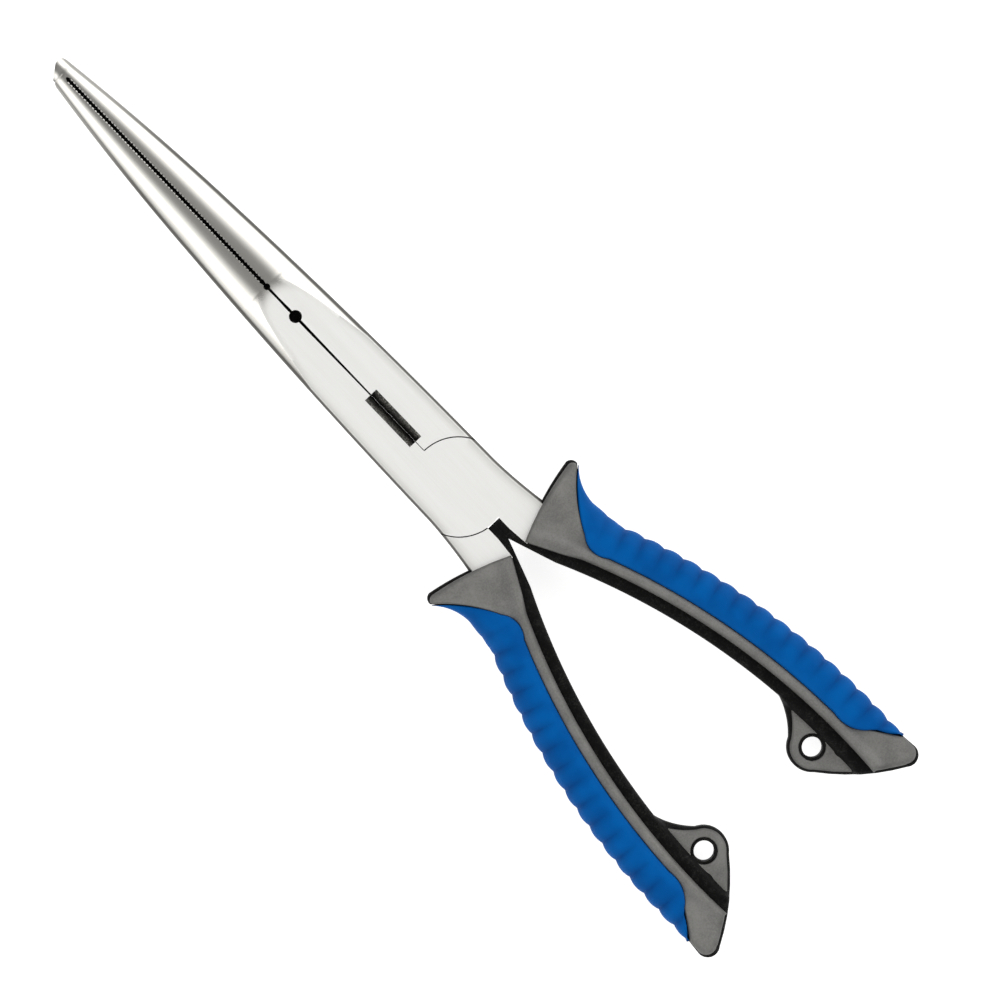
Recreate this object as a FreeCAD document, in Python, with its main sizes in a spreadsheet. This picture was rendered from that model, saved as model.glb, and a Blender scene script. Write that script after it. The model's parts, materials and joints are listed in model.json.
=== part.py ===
import FreeCAD, Part
import math
import os
import Sketcher

# Long-reach fishing pliers, in millimetres.
# Every piece is drawn about the pivot: +Y towards the jaw tips, +Z out of the front face.
# The finished pieces are then placed so that the pliers lie on z = 0, centred on the origin.

DIMENSIONS = [
    ("jaw_reach", 149.2, "pivot to the very tip of the tooth jaw"),
    ("tail_reach", 131.0, "pivot to the lowest point of the handles"),
    ("head_thick", 10.4, "thickness of the forged head"),
    ("joint_radius", 12.6, "radius of the half-lapped joint discs"),
    ("joint_half_width", 11.4, "half width of the head across the joint"),
    ("lap_clearance", 0.08, "running gap round and between the joint discs"),
    ("rivet_radius", 3.5, "shank of the pivot rivet"),
    ("rivet_head_radius", 5.0, "countersunk heads of the pivot rivet"),
    ("rivet_head_height", 1.5, "depth of the countersinks"),
    ("rivet_clearance", 0.06, "running gap between the rivet and the lever that turns"),
    ("rivet_fit", 0.02, "fit of the rivet in the lever that holds it"),
    ("jaw_mid_y", 90.0, "station between the two arcs of the jaw outline"),
    ("jaw_mid_half_width", 8.5, "half width of the closed jaws there"),
    ("jaw_lower_arc", 1790.0, "radius of the jaw outline below that station"),
    ("jaw_upper_arc", 720.0, "radius of the jaw outline above it"),
    ("tip_half_width", 3.5, "half width of the closed jaws where the tip rounding starts"),
    ("tooth_length", 3.6, "how far the tooth jaw stands past the plain jaw"),
    ("tooth_overhang", 3.0, "how far the split ring tooth hooks over the plain jaw"),
    ("tooth_gap", 0.25, "gap between the tooth and the end of the plain jaw"),
    ("tip_round", 1.3, "rounding of the tooth jaw's tip"),
    ("tip_half_thick", 2.25, "half thickness of the nose at its tip"),
    ("nose_start", 71.0, "station where the ground nose reaches full thickness"),
    ("nose_blend", 21.0, "length over which the rounding fades into the flat faces"),
    ("nose_margin", 0.15, "how far the nose ellipse stands outside the jaw outline"),
    ("blend_margin", 0.5, "the same, at the low end of the blend"),
    ("blend_half_thick", 7.7, "half height of the ellipse at the low end of the blend"),
    ("edge_chamfer", 0.7, "chamfer along the outer edges of the head"),
    ("tip_gap", 0.05, "half gap between the closed jaws at the tips"),
    ("crest_gap", 0.12, "half gap between the crests of the serrations"),
    ("relief_gap", 0.28, "half gap between the jaws beside the crimp notch"),
    ("seat_gap", 0.04, "half gap between the jaws at the cutter"),
    ("serration_top", 143.5, "upper end of the serrated faces"),
    ("serration_bottom", 72.5, "lower end of the serrated faces"),
    ("serration_pitch", 1.0, "pitch of the serrations"),
    ("serration_depth", 0.45, "depth of the serrations"),
    ("crimp_notch_y", 60.0, "centre of the crimping notch"),
    ("crimp_notch_radius", 1.67, "radius of the crimping notch"),
    ("wire_notch_y", 70.5, "centre of the small notch"),
    ("wire_notch_radius", 0.87, "radius of the small notch"),
    ("cutter_bottom", 15.9, "lower end of the side cutter"),
    ("cutter_length", 16.5, "length of the cutter blades"),
    ("cutter_depth", 2.0, "how deep each blade sits in its jaw"),
    ("cutter_land", 0.45, "flat beside the bevel of each blade"),
    ("cutter_fit", 0.02, "gap between a blade and its pocket"),
    ("crotch_half_width", 1.95, "half width of the notch under the joint"),
    ("crotch_depth", 4.1, "depth of the straight part of that notch"),
    ("flare_y", 10.0, "distance below the pivot where the tangs start to flare"),
    ("flare_half_width", 12.05, "half width of the head there"),
    ("neck_y", 17.0, "distance below the pivot of the neck, just ahead of the guard"),
    ("neck_half_width", 13.0, "half width of the head there"),
    ("neck_seat", 2.3, "how far the full-thickness neck goes into the guard"),
    ("bend_centre_x", 171.5, "centre of the handle's bend, across the centre line"),
    ("bend_centre_y", 113.9, "centre of the handle's bend, below the pivot"),
    ("bend_radius", 202.1, "radius of the bend along the middle of the tang"),
    ("inner_offset", 7.6, "middle of the tang to the handle's inner edge"),
    ("band_offset", 4.4, "middle of the tang to the edge of the dark band"),
    ("ridge_offset", 1.4, "middle of the tang to the edge of the grip"),
    ("outer_offset", 7.6, "middle of the tang to the outside of the grip"),
    ("tang_half_width", 3.2, "half width of the tang inside the handle"),
    ("tang_thick", 5.0, "thickness of the tang inside the handle"),
    ("tang_end", 24.0, "tail of the handle to the end of the tang"),
    ("spine_wall", 1.4, "wall of the core around the tang"),
    ("core_thick", 10.0, "thickness of the core's visible band"),
    ("shell_thick", 14.8, "thickness of the guard, ridge and tail"),
    ("grip_thick", 15.6, "thickness of the grips, on which the pliers lie"),
    ("cover_thick", 7.2, "thickness of the lanyard covers"),
    ("guard_inner_y", 21.3, "distance below the pivot of the guard's inner corner"),
    ("guard_inner_x", 2.6, "half width at the guard's inner corner"),
    ("guard_outer_y", 14.2, "distance below the pivot of the guard's outer corner"),
    ("guard_outer_x", 24.3, "half width at the guard's outer corner"),
    ("guard_round", 2.0, "rounding of the guard's outer corner"),
    ("guard_front_arc", 79.0, "radius of the guard's front edge"),
    ("waist_y", 26.5, "distance below the pivot of the waist under the guard"),
    ("waist_x", 21.8, "half width at the waist"),
    ("waist_arc", 14.0, "radius of the hollow above the waist"),
    ("swell_y", 35.0, "distance below the pivot where the grip reaches its width"),
    ("grip_top_arc", 38.7, "radius of the grip's edge across the guard"),
    ("band_start_x", 7.3, "half width where the dark band starts to widen"),
    ("band_start_y", 31.0, "distance below the pivot of that point"),
    ("lanyard_radius", 2.65, "radius of the lanyard holes"),
    ("lanyard_offset", 11.5, "middle of the tang's bend to the lanyard hole"),
    ("lanyard_rise", 21.05, "tail of the handle to the middle of the lanyard hole"),
    ("lanyard_ring", 0.75, "wall of the core's eyelet"),
    ("lug_radius", 6.45, "outer radius of the lanyard lug"),
    ("lug_rise", 15.0, "lanyard hole up to where the lug leaves the handle"),
    ("lug_bow", 1.24, "how far the lug's lower edge bows out between lug and tail"),
    ("tail_round", 3.1, "rounding of the tail"),
    ("tail_x", 35.0, "half width at the middle of the tail rounding"),
    ("grip_chamfer", 2.6, "chamfer along the outside of the grips"),
    ("grip_tail_rise", 6.9, "tail of the handle up to the end of the grip, outside"),
    ("grip_end_rise", 19.0, "tail of the handle up to the end of the grip, inside"),
]


class Size:
    """A length that knows both its value and the sheet formula that it comes from."""

    def __init__(self, value, formula):
        self.value = value
        self.formula = formula

    def combine(self, other, symbol, value):
        return Size(value, "(" + self.formula + symbol + other.formula + ")")

    def __add__(self, other):
        other = as_size(other)
        return self.combine(other, " + ", self.value + other.value)

    def __sub__(self, other):
        other = as_size(other)
        return self.combine(other, " - ", self.value - other.value)

    def __mul__(self, other):
        other = as_size(other)
        return self.combine(other, " * ", self.value * other.value)

    def __truediv__(self, other):
        other = as_size(other)
        return self.combine(other, " / ", self.value / other.value)

    def __neg__(self):
        return as_size(0) - self

    def __radd__(self, other):
        return as_size(other) + self

    def __rmul__(self, other):
        return as_size(other) * self


def as_size(number):
    if isinstance(number, Size):
        return number
    return Size(float(number), repr(float(number)))


def leg(long_side, short_side):
    """The other short side of a right-angled triangle."""
    inside = long_side * long_side - short_side * short_side
    return Size(math.sqrt(inside.value), "sqrt(" + inside.formula + ")")


class Sheet:
    """The driving dimensions, kept in a spreadsheet and read back as sizes."""

    def __init__(self, document, rows):
        self.cells = document.addObject("Spreadsheet::Sheet", "Dims")
        for number, (alias, value, note) in enumerate(rows, start=1):
            self.cells.set("A%d" % number, alias)
            self.cells.set("B%d" % number, str(value))
            self.cells.set("C%d" % number, note)
            self.cells.setAlias("B%d" % number, alias)
        document.recompute()

    def __getattr__(self, alias):
        return Size(float(getattr(self.cells, alias)), "Dims." + alias)


doc = FreeCAD.newDocument("fishing_pliers")
dims = Sheet(doc, DIMENSIONS)
Vector = FreeCAD.Vector
UP = Vector(0, 0, 1)
ORIGIN = (-1, 1)


# ---------------------------------------------------------------- sketches

def bind(sketch, kind, places, size):
    """Add one dimension to a sketch and tie it to the sheet."""
    index = sketch.addConstraint(Sketcher.Constraint(kind, *places, size.value))
    sketch.setExpression("Constraints[%d]" % index, size.formula)


def new_sketch(body, name, plane="XY_Plane", height=None):
    sketch = body.newObject("Sketcher::SketchObject", name)
    support = [item for item in body.Origin.OriginFeatures if item.Role == plane]
    sketch.AttachmentSupport = [(support[0], "")]
    sketch.MapMode = "FlatFace"
    if height is not None:
        sketch.setExpression("AttachmentOffset.Base.z", height.formula)
    return sketch


def arc_between(start, end, radius):
    """The short arc from start to end; a positive radius turns left."""
    middle = (start + end) * 0.5
    chord = end - start
    side = Vector(-chord.y, chord.x, 0).normalize()
    rise = math.sqrt(radius * radius - chord.Length ** 2 / 4)
    centre = middle + side * math.copysign(rise, radius)
    first, last = (start, end) if radius > 0 else (end, start)
    angles = [math.atan2(point.y - centre.y, point.x - centre.x) for point in (first, last)]
    return Part.ArcOfCircle(Part.Circle(centre, UP, abs(radius)), angles[0], angles[1])


def draw_outline(sketch, corners, hand=1):
    """A closed outline through the corners, mirrored across the centre line if hand is -1.

    A corner is (x, y), or (x, y, radius, turn) when an arc leads on from it.
    """
    points = [Vector(hand * as_size(corner[0]).value, as_size(corner[1]).value, 0)
              for corner in corners]
    ends = []
    for number, corner in enumerate(corners):
        start = points[number]
        end = points[(number + 1) % len(points)]
        if len(corner) == 2:
            edge = sketch.addGeometry(Part.LineSegment(start, end))
            ends.append(((edge, 1), (edge, 2)))
            continue
        turn = hand * corner[3]
        edge = sketch.addGeometry(arc_between(start, end, turn * corner[2].value))
        ends.append(((edge, 1), (edge, 2)) if turn > 0 else ((edge, 2), (edge, 1)))
        bind(sketch, "Radius", (edge,), corner[2])
    for number, corner in enumerate(corners):
        here = ends[number][0]
        sketch.addConstraint(Sketcher.Constraint("Coincident", *ends[number - 1][1], *here))
        bind(sketch, "DistanceX", ORIGIN + here, hand * as_size(corner[0]))
        bind(sketch, "DistanceY", ORIGIN + here, as_size(corner[1]))


def draw_circle(sketch, x, y, radius, hand=1):
    x = hand * as_size(x)
    y = as_size(y)
    centre = Vector(x.value, y.value, 0)
    edge = sketch.addGeometry(Part.Circle(centre, UP, radius.value))
    bind(sketch, "DistanceX", ORIGIN + (edge, 3), x)
    bind(sketch, "DistanceY", ORIGIN + (edge, 3), y)
    bind(sketch, "Radius", (edge,), radius)


# ---------------------------------------------------------------- features

def new_body(name):
    return doc.addObject("PartDesign::Body", name)


def extrude(body, kind, sketch, name, length, side="Symmetric", flip=False):
    feature = body.newObject(kind, name)
    feature.Profile = sketch
    feature.SideType = side
    feature.setExpression("Length", length.formula)
    feature.Reversed = flip
    doc.recompute()
    return feature


def add_slab(body, name, corners, thick, hand=1):
    sketch = new_sketch(body, name + "_sketch")
    draw_outline(sketch, corners, hand)
    return extrude(body, "PartDesign::Pad", sketch, name, thick)


def cut_slot(body, name, corners, thick, hand=1):
    sketch = new_sketch(body, name + "_sketch")
    draw_outline(sketch, corners, hand)
    return checked_cut(body, extrude, body, "PartDesign::Pocket", sketch, name, thick)


def cut_hole(body, name, x, y, radius, thick, hand=1):
    sketch = new_sketch(body, name + "_sketch")
    draw_circle(sketch, x, y, radius, hand)
    return checked_cut(body, extrude, body, "PartDesign::Pocket", sketch, name, thick)


def checked_cut(body, make, *arguments, **options):
    """Make a cut and stop if it took nothing away."""
    before = body.Shape.Volume
    feature = make(*arguments, **options)
    if body.Shape.Volume >= before - 1e-6:
        raise RuntimeError(feature.Name + " cuts nothing")
    return feature


def place(piece, label):
    """Name a finished piece and set it down on z = 0, centred along its length."""
    piece.Label = label
    piece.setExpression("Placement.Base.y", PIVOT_Y.formula)
    piece.setExpression("Placement.Base.z", (dims.grip_thick / 2).formula)
    PIECES.append(piece)
    return piece


def cut_away(label, base, tools):
    """A finished piece: the base less everything that sits inside it."""
    tool = tools[0]
    if len(tools) > 1:
        tool = doc.addObject("Part::MultiFuse", label + "_room")
        tool.Shapes = tools
    piece = doc.addObject("Part::Cut", label)
    piece.Base = base
    piece.Tool = tool
    return place(piece, label)


PIECES = []
PIVOT_Y = (dims.tail_reach - dims.jaw_reach) / 2
PLAIN_END = dims.jaw_reach - dims.tooth_length
FLAT_END = leg(dims.joint_radius, dims.joint_half_width)
CROTCH_TOP = leg(dims.joint_radius, dims.crotch_half_width)


# ---------------------------------------------------------------- the pivot rivet

def rivet_outline(clearance):
    """Half the section of the rivet, with room round it."""
    half = dims.head_thick / 2
    shank = dims.rivet_radius + clearance
    head = dims.rivet_head_radius + clearance
    neck = half - dims.rivet_head_height
    return [(0, -half), (head, -half), (shank, -neck), (shank, neck), (head, half), (0, half)]


def turn_section(body, kind, name, corners):
    sketch = new_sketch(body, name + "_sketch", "XZ_Plane")
    draw_outline(sketch, corners)
    feature = body.newObject(kind, name)
    feature.Profile = sketch
    feature.ReferenceAxis = (sketch, ["V_Axis"])
    feature.Angle = 360
    doc.recompute()
    return feature


def make_rivet():
    body = new_body("rivet_body")
    turn_section(body, "PartDesign::Revolution", "rivet_turned", rivet_outline(as_size(0)))
    place(body, "pivot_rivet")


# ---------------------------------------------------------------- the two levers

def plain_tip():
    """End of the jaw that the tooth hooks over, from the outer edge to the parting line."""
    corner = dims.tip_round * 0.6
    return [(dims.tip_half_width - corner * 0.2, PLAIN_END - corner, corner * 1.3, 1),
            (dims.tip_half_width - corner * 1.4, PLAIN_END)]


def tooth_tip():
    """End of the jaw with the split ring tooth, which crosses to the other side."""
    under = PLAIN_END + dims.tooth_gap
    tip = dims.jaw_reach
    bow = dims.tip_round
    return [(bow * 2.3, tip - bow, bow, 1), (bow * 1.3, tip),
            (bow * 0.4, tip - bow * 0.2), (-dims.tooth_overhang, under + bow * 0.3),
            (-dims.tooth_overhang, under), (dims.tip_gap, under)]


def lever_outline(tip):
    """The whole head of a lever: jaw on +X, joint disc, and neck on -X."""
    neck_bottom = -(dims.guard_inner_y + dims.neck_seat)
    shoulder = -(dims.neck_y + dims.neck_seat + 1)
    inner = [(dims.tip_gap, PLAIN_END), (dims.crest_gap, dims.serration_top),
             (dims.crest_gap, dims.serration_bottom), (dims.relief_gap, dims.wire_notch_y - 4),
             (dims.relief_gap, dims.crimp_notch_y - 3),
             (dims.seat_gap, dims.cutter_bottom + dims.cutter_length)]
    disc = [(dims.seat_gap, leg(dims.joint_radius, dims.seat_gap), dims.joint_radius, 1),
            (-dims.joint_half_width, FLAT_END), (-dims.joint_half_width, -FLAT_END)]
    neck = [(-dims.flare_half_width, -dims.flare_y), (-dims.neck_half_width, -dims.neck_y),
            (-(dims.neck_half_width + 0.6), shoulder), (-dims.guard_inner_x, neck_bottom),
            (-dims.crotch_half_width, -(CROTCH_TOP + dims.crotch_depth)),
            (-dims.crotch_half_width, -CROTCH_TOP, dims.joint_radius, 1)]
    jaw = [(dims.joint_half_width, -FLAT_END),
           (dims.joint_half_width, 0, dims.jaw_lower_arc, 1),
           (dims.jaw_mid_half_width, dims.jaw_mid_y, dims.jaw_upper_arc, 1)]
    return inner + disc + neck + jaw + tip


def on_bend(offset, drop):
    """The half width of a line that follows the handle's bend, at a distance below the pivot."""
    return leg(dims.bend_radius + offset, dims.bend_centre_y - drop) - dims.bend_centre_x


def bend_strip(inner_offset, outer_offset, top, bottom):
    """A strip of the handle between two lines of the bend, cut off square at both ends."""
    inner = dims.bend_radius + inner_offset
    outer = dims.bend_radius + outer_offset
    return [(on_bend(inner_offset, top), -top, inner, -1),
            (on_bend(inner_offset, bottom), -bottom),
            (on_bend(outer_offset, bottom), -bottom, outer, 1),
            (on_bend(outer_offset, top), -top)]


def tang_strip(wall, top, extra_length):
    half = dims.tang_half_width + wall
    bottom = dims.tail_reach - dims.tang_end + extra_length
    return bend_strip(-half, half, as_size(top), bottom)


def outer_edges(shape):
    """The long outer edges of the head that are chamfered."""
    chosen = []
    for number, edge in enumerate(shape.Edges, start=1):
        middle = edge.valueAt((edge.FirstParameter + edge.LastParameter) / 2)
        on_face = abs(abs(middle.z) - dims.head_thick.value / 2) < 1e-3
        flat = abs(edge.BoundBox.ZLength) < 1e-3
        on_disc = isinstance(edge.Curve, Part.Circle) and edge.Curve.Radius < 20
        outside = abs(middle.x) > dims.tip_half_width.value and middle.y > -dims.neck_y.value
        if on_face and flat and outside and not on_disc:
            chosen.append("Edge%d" % number)
    return chosen


def make_blank(name, hand, tip):
    """One lever before its nose is ground; its jaw is on the side that hand names."""
    body = new_body(name + "_blank")
    thick = dims.head_thick
    head = add_slab(body, name + "_head", lever_outline(tip), thick, hand)
    chamfer = body.newObject("PartDesign::Chamfer", name + "_edges")
    chamfer.Base = (head, outer_edges(head.Shape))
    chamfer.setExpression("Size", dims.edge_chamfer.formula)
    doc.recompute()
    tang = tang_strip(0, dims.neck_y, as_size(0))
    add_slab(body, name + "_tang", tang, dims.tang_thick, -hand)

    # The joint disc keeps one half of the thickness: the front half on the plain lever.
    lap = new_sketch(body, name + "_lap_sketch", height=-hand * dims.lap_clearance / 2)
    draw_circle(lap, 0, 0, dims.joint_radius + dims.lap_clearance)
    checked_cut(body, extrude, body, "PartDesign::Pocket", lap, name + "_lap", thick,
                side="One side", flip=hand > 0)

    clearance = dims.rivet_clearance if hand > 0 else dims.rivet_fit
    checked_cut(body, turn_section, body, "PartDesign::Groove", name + "_bore",
                rivet_outline(clearance))
    seat_low = dims.cutter_bottom - dims.cutter_fit
    seat_high = dims.cutter_bottom + dims.cutter_length + dims.cutter_fit
    seat_deep = dims.cutter_depth + dims.cutter_fit
    seat = [(-1, seat_low), (seat_deep, seat_low), (seat_deep, seat_high), (-1, seat_high)]
    cut_slot(body, name + "_cutter_seat", seat, thick, hand)
    cut_hole(body, name + "_crimp_notch", 0, dims.crimp_notch_y, dims.crimp_notch_radius, thick)
    cut_hole(body, name + "_wire_notch", 0, dims.wire_notch_y, dims.wire_notch_radius, thick)
    cut_serrations(body, name, hand)
    return body


def cut_serrations(body, name, hand):
    """V grooves across the gripping face, repeated up the jaw."""
    pitch = dims.serration_pitch
    low = dims.serration_bottom
    groove = [(-dims.serration_depth, low), (dims.crest_gap, low),
              (dims.crest_gap + dims.serration_depth, low + pitch / 2),
              (dims.crest_gap, low + pitch), (-dims.serration_depth, low + pitch)]
    first = cut_slot(body, name + "_groove", groove, dims.head_thick, hand)
    before = body.Shape.Volume
    row = body.newObject("PartDesign::LinearPattern", name + "_serrations")
    row.Originals = [first]
    up = [item for item in body.Origin.OriginFeatures if item.Role == "Y_Axis"]
    row.Direction = (up[0], [""])
    count = (dims.serration_top - dims.serration_bottom) / pitch
    row.setExpression("Occurrences", "floor(" + count.formula + ")")
    row.setExpression("Length", "(floor(" + count.formula + ") - 1) * " + pitch.formula)
    body.Tip = row
    doc.recompute()
    if body.Shape.Volume >= before:
        raise RuntimeError(name + " has no row of serrations")


def jaw_half_width(y):
    """Half width of the closed jaws at a station of the upper jaw outline."""
    low = dims.jaw_mid_y
    share = (y - low) / (PLAIN_END - low)
    straight = dims.jaw_mid_half_width - (dims.jaw_mid_half_width - dims.tip_half_width) * share
    length = PLAIN_END - low
    bow = length * length * share * (as_size(1) - share) / (2 * dims.jaw_upper_arc)
    return straight + bow


def nose_section(name, y, half_width, half_thick):
    """An elliptical station of the nose, standing across the jaws."""
    ring = doc.addObject("Part::Ellipse", name)
    if half_thick.value > half_width.value:
        raise RuntimeError(name + " is taller than it is wide")
    ring.setExpression("MajorRadius", half_width.formula)
    ring.setExpression("MinorRadius", half_thick.formula)
    ring.Placement.Rotation = FreeCAD.Rotation(Vector(1, 0, 0), 90)
    ring.setExpression("Placement.Base.y", y.formula)
    return ring


def make_nose_stock():
    """Everything that grinding takes off the nose: a block less the finished nose."""
    start = dims.nose_start
    rate = (dims.head_thick / 2 - dims.tip_half_thick) / (PLAIN_END - start)
    margin = dims.nose_margin
    top = dims.jaw_reach + 3
    third = (PLAIN_END - dims.jaw_mid_y) / 3
    stations = [top, PLAIN_END, PLAIN_END - third, PLAIN_END - third * 2, dims.jaw_mid_y, start]
    rings = []
    for number, y in enumerate(stations):
        half_thick = dims.head_thick / 2 - (y - start) * rate
        name = "nose_station_%d" % number
        rings.append(nose_section(name, y, jaw_half_width(y) + margin, half_thick))
    low = start - dims.nose_blend
    wide = dims.jaw_mid_half_width + (dims.joint_half_width - dims.jaw_mid_half_width) * 0.65
    fade = nose_section("nose_fade", low, wide + dims.blend_margin, dims.blend_half_thick)
    runout = low - 6
    end = nose_section("nose_runout", runout, wide + 4, dims.head_thick)
    nose = doc.addObject("Part::Loft", "ground_nose")
    nose.Sections = rings + [fade, end]
    nose.Solid = True
    nose.Ruled = True
    block = doc.addObject("Part::Box", "nose_block")
    block.setExpression("Length", (dims.joint_half_width * 3).formula)
    block.setExpression("Width", (dims.jaw_reach + 2 - runout).formula)
    block.setExpression("Height", (dims.head_thick * 2).formula)
    block.setExpression("Placement.Base.x", (dims.joint_half_width * -1.5).formula)
    block.setExpression("Placement.Base.y", runout.formula)
    block.setExpression("Placement.Base.z", (-dims.head_thick).formula)
    stock = doc.addObject("Part::Cut", "nose_stock")
    stock.Base = block
    stock.Tool = nose
    return stock


# ---------------------------------------------------------------- the cutter blades

def make_blade(label, hand):
    """A brazed insert with a bevel from each face to the cutting edge."""
    body = new_body(label + "_body")
    half = dims.head_thick / 2 - 0.1
    back = dims.cutter_depth
    top = back - dims.cutter_land
    section = [(back, -half), (back, half), (top, half), (dims.seat_gap, 0), (top, -half)]
    sketch = new_sketch(body, label + "_sketch", "XZ_Plane", -dims.cutter_bottom)
    draw_outline(sketch, section, hand)
    extrude(body, "PartDesign::Pad", sketch, label + "_insert", dims.cutter_length,
            side="One side", flip=True)
    return place(body, label)


# ---------------------------------------------------------------- the handles

HOLE_DROP = dims.tail_reach - dims.lanyard_rise
HOLE_X = on_bend(-dims.lanyard_offset, HOLE_DROP)
TAIL_DROP = dims.tail_reach - dims.tail_round
LEAN = 0.643
LIFT = 0.766
BAND_INNER_SHARE = 0.47
BAND_OUTER_SHARE = 0.66
LUG_TOP = HOLE_DROP - dims.lug_rise


def lug_round(turn):
    """A point on the lug's rounding, above the lanyard hole for 1 and below it for -1."""
    lug = dims.lug_radius
    return (HOLE_X - lug * LEAN, -HOLE_DROP + lug * LIFT * turn)


def tail_start():
    return (dims.tail_x - dims.tail_round * LEAN, -TAIL_DROP - dims.tail_round * LIFT)


def lower_edge(share):
    """A point of the bowed edge that runs from the lug down to the tail."""
    start = lug_round(-1)
    end = tail_start()
    bow = dims.lug_bow * (4 * share * (1 - share))
    return (start[0] + (end[0] - start[0]) * share - bow * LEAN,
            start[1] + (end[1] - start[1]) * share - bow * LIFT)


def make_core_blank(name, hand):
    """Dark core: the band along the inner edge, a spine round the tang, and the eyelet."""
    body = new_body(name + "_blank")
    run = dims.lap_clearance * 2
    top = leg(dims.joint_radius + run, dims.crotch_half_width)
    nose = dims.tip_gap
    band_end = lower_edge(BAND_OUTER_SHARE)
    band = [(nose, -(dims.joint_radius + run)), (nose, -(CROTCH_TOP + dims.crotch_depth)),
            (on_bend(-dims.inner_offset, dims.band_start_y), -dims.band_start_y,
             dims.bend_radius - dims.inner_offset, -1),
            (on_bend(-dims.inner_offset, LUG_TOP), -LUG_TOP),
            lower_edge(BAND_INNER_SHARE),
            (on_bend(-dims.band_offset, -band_end[1]), band_end[1],
             dims.bend_radius - dims.band_offset, 1),
            (on_bend(-dims.band_offset, dims.swell_y), -dims.swell_y),
            (dims.band_start_x, -dims.band_start_y),
            (dims.guard_inner_x + 0.5, -(dims.guard_inner_y + 0.9)),
            (dims.crotch_half_width, -(CROTCH_TOP + dims.crotch_depth)),
            (dims.crotch_half_width, -top, dims.joint_radius + run, -1)]
    add_slab(body, name + "_band", band, dims.core_thick, hand)
    wall = dims.spine_wall
    spine = tang_strip(wall, dims.guard_inner_y + dims.neck_seat, wall)
    add_slab(body, name + "_spine", spine, dims.tang_thick + wall * 2, hand)
    sketch = new_sketch(body, name + "_eyelet_sketch")
    draw_circle(sketch, HOLE_X, -HOLE_DROP, dims.lanyard_radius + dims.lanyard_ring, hand)
    extrude(body, "PartDesign::Pad", sketch, name + "_eyelet", dims.cover_thick)
    cut_hole(body, name + "_lanyard_hole", HOLE_X, -HOLE_DROP, dims.lanyard_radius,
             dims.core_thick, hand)
    return body


def make_cover_blank(name, hand):
    """Lanyard cover: the lug between its outer edge and the dark band."""
    body = new_body(name + "_blank")
    top = (on_bend(-dims.inner_offset, LUG_TOP), -LUG_TOP)
    outline = [top, lug_round(1) + (dims.lug_radius, 1), lug_round(-1), lower_edge(0.25),
               lower_edge(BAND_INNER_SHARE)]
    add_slab(body, name + "_lug", outline, dims.cover_thick, hand)
    cut_hole(body, name + "_eyelet_room", HOLE_X, -HOLE_DROP,
             dims.lanyard_radius + dims.lanyard_ring, dims.cover_thick, hand)
    return body


def make_shell_blank(name, hand):
    """Grey shell: the guard, the ridge beside the grip, and the tail."""
    body = new_body(name + "_blank")
    band_end = lower_edge(BAND_OUTER_SHARE)
    outline = [(dims.guard_inner_x, -dims.guard_inner_y),
               (dims.guard_inner_x + 0.5, -(dims.guard_inner_y + 0.9)),
               (dims.band_start_x, -dims.band_start_y),
               (on_bend(-dims.band_offset, dims.swell_y), -dims.swell_y,
                dims.bend_radius - dims.band_offset, -1),
               (on_bend(-dims.band_offset, -band_end[1]), band_end[1]),
               tail_start() + (dims.tail_round, 1),
               (dims.tail_x + dims.tail_round, -TAIL_DROP)]
    outline += reversed_grip_edge()
    outline += [(dims.guard_outer_x + dims.guard_round * 0.8,
                 -(dims.guard_outer_y + dims.guard_round), dims.guard_round, 1),
                (dims.guard_outer_x, -dims.guard_outer_y, dims.guard_front_arc, 1)]
    add_slab(body, name + "_shell", outline, dims.shell_thick, hand)
    return body


def reversed_grip_edge():
    """The edge that the shell shares with the grip, from the tail up to the guard."""
    grip_end = dims.tail_reach - dims.grip_end_rise
    ridge = -dims.ridge_offset
    tail = dims.tail_reach - dims.grip_tail_rise
    return [(on_bend(dims.outer_offset, tail), -tail),
            (on_bend(ridge, grip_end), -grip_end, dims.bend_radius + ridge, 1),
            (on_bend(ridge, dims.swell_y), -dims.swell_y, dims.grip_top_arc, -1),
            (dims.guard_outer_x + dims.guard_round * 0.8,
             -(dims.guard_outer_y + dims.guard_round * 1.4))]


def make_grip_blank(name, hand):
    """Ribbed grip: a pad along the outside of the handle."""
    body = new_body(name + "_blank")
    grip_end = dims.tail_reach - dims.grip_end_rise
    ridge = -dims.ridge_offset
    tail = dims.tail_reach - dims.grip_tail_rise
    tip_x = dims.guard_outer_x + dims.guard_round * 0.8
    tip_y = -(dims.guard_outer_y + dims.guard_round * 1.4)
    outline = [(tip_x, tip_y, dims.grip_top_arc, 1),
               (on_bend(ridge, dims.swell_y), -dims.swell_y, dims.bend_radius + ridge, -1),
               (on_bend(ridge, grip_end), -grip_end), (on_bend(dims.outer_offset, tail), -tail,
                                                       dims.bend_radius + dims.outer_offset, 1),
               (on_bend(dims.outer_offset, dims.swell_y), -dims.swell_y),
               (dims.waist_x, -dims.waist_y, dims.waist_arc, -1)]
    pad = add_slab(body, name + "_pad", outline, dims.grip_thick, hand)
    chamfer = body.newObject("PartDesign::Chamfer", name + "_edges")
    chamfer.Base = (pad, grip_edges(pad.Shape))
    chamfer.setExpression("Size", dims.grip_chamfer.formula)
    doc.recompute()
    return body


def grip_edges(shape):
    """The two long edges along the outside of a grip."""
    outside = dims.bend_radius + dims.outer_offset
    chosen = []
    for number, edge in enumerate(shape.Edges, start=1):
        if isinstance(edge.Curve, Part.Circle) and abs(edge.Curve.Radius - outside.value) < 1e-3:
            chosen.append("Edge%d" % number)
    return chosen


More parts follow.
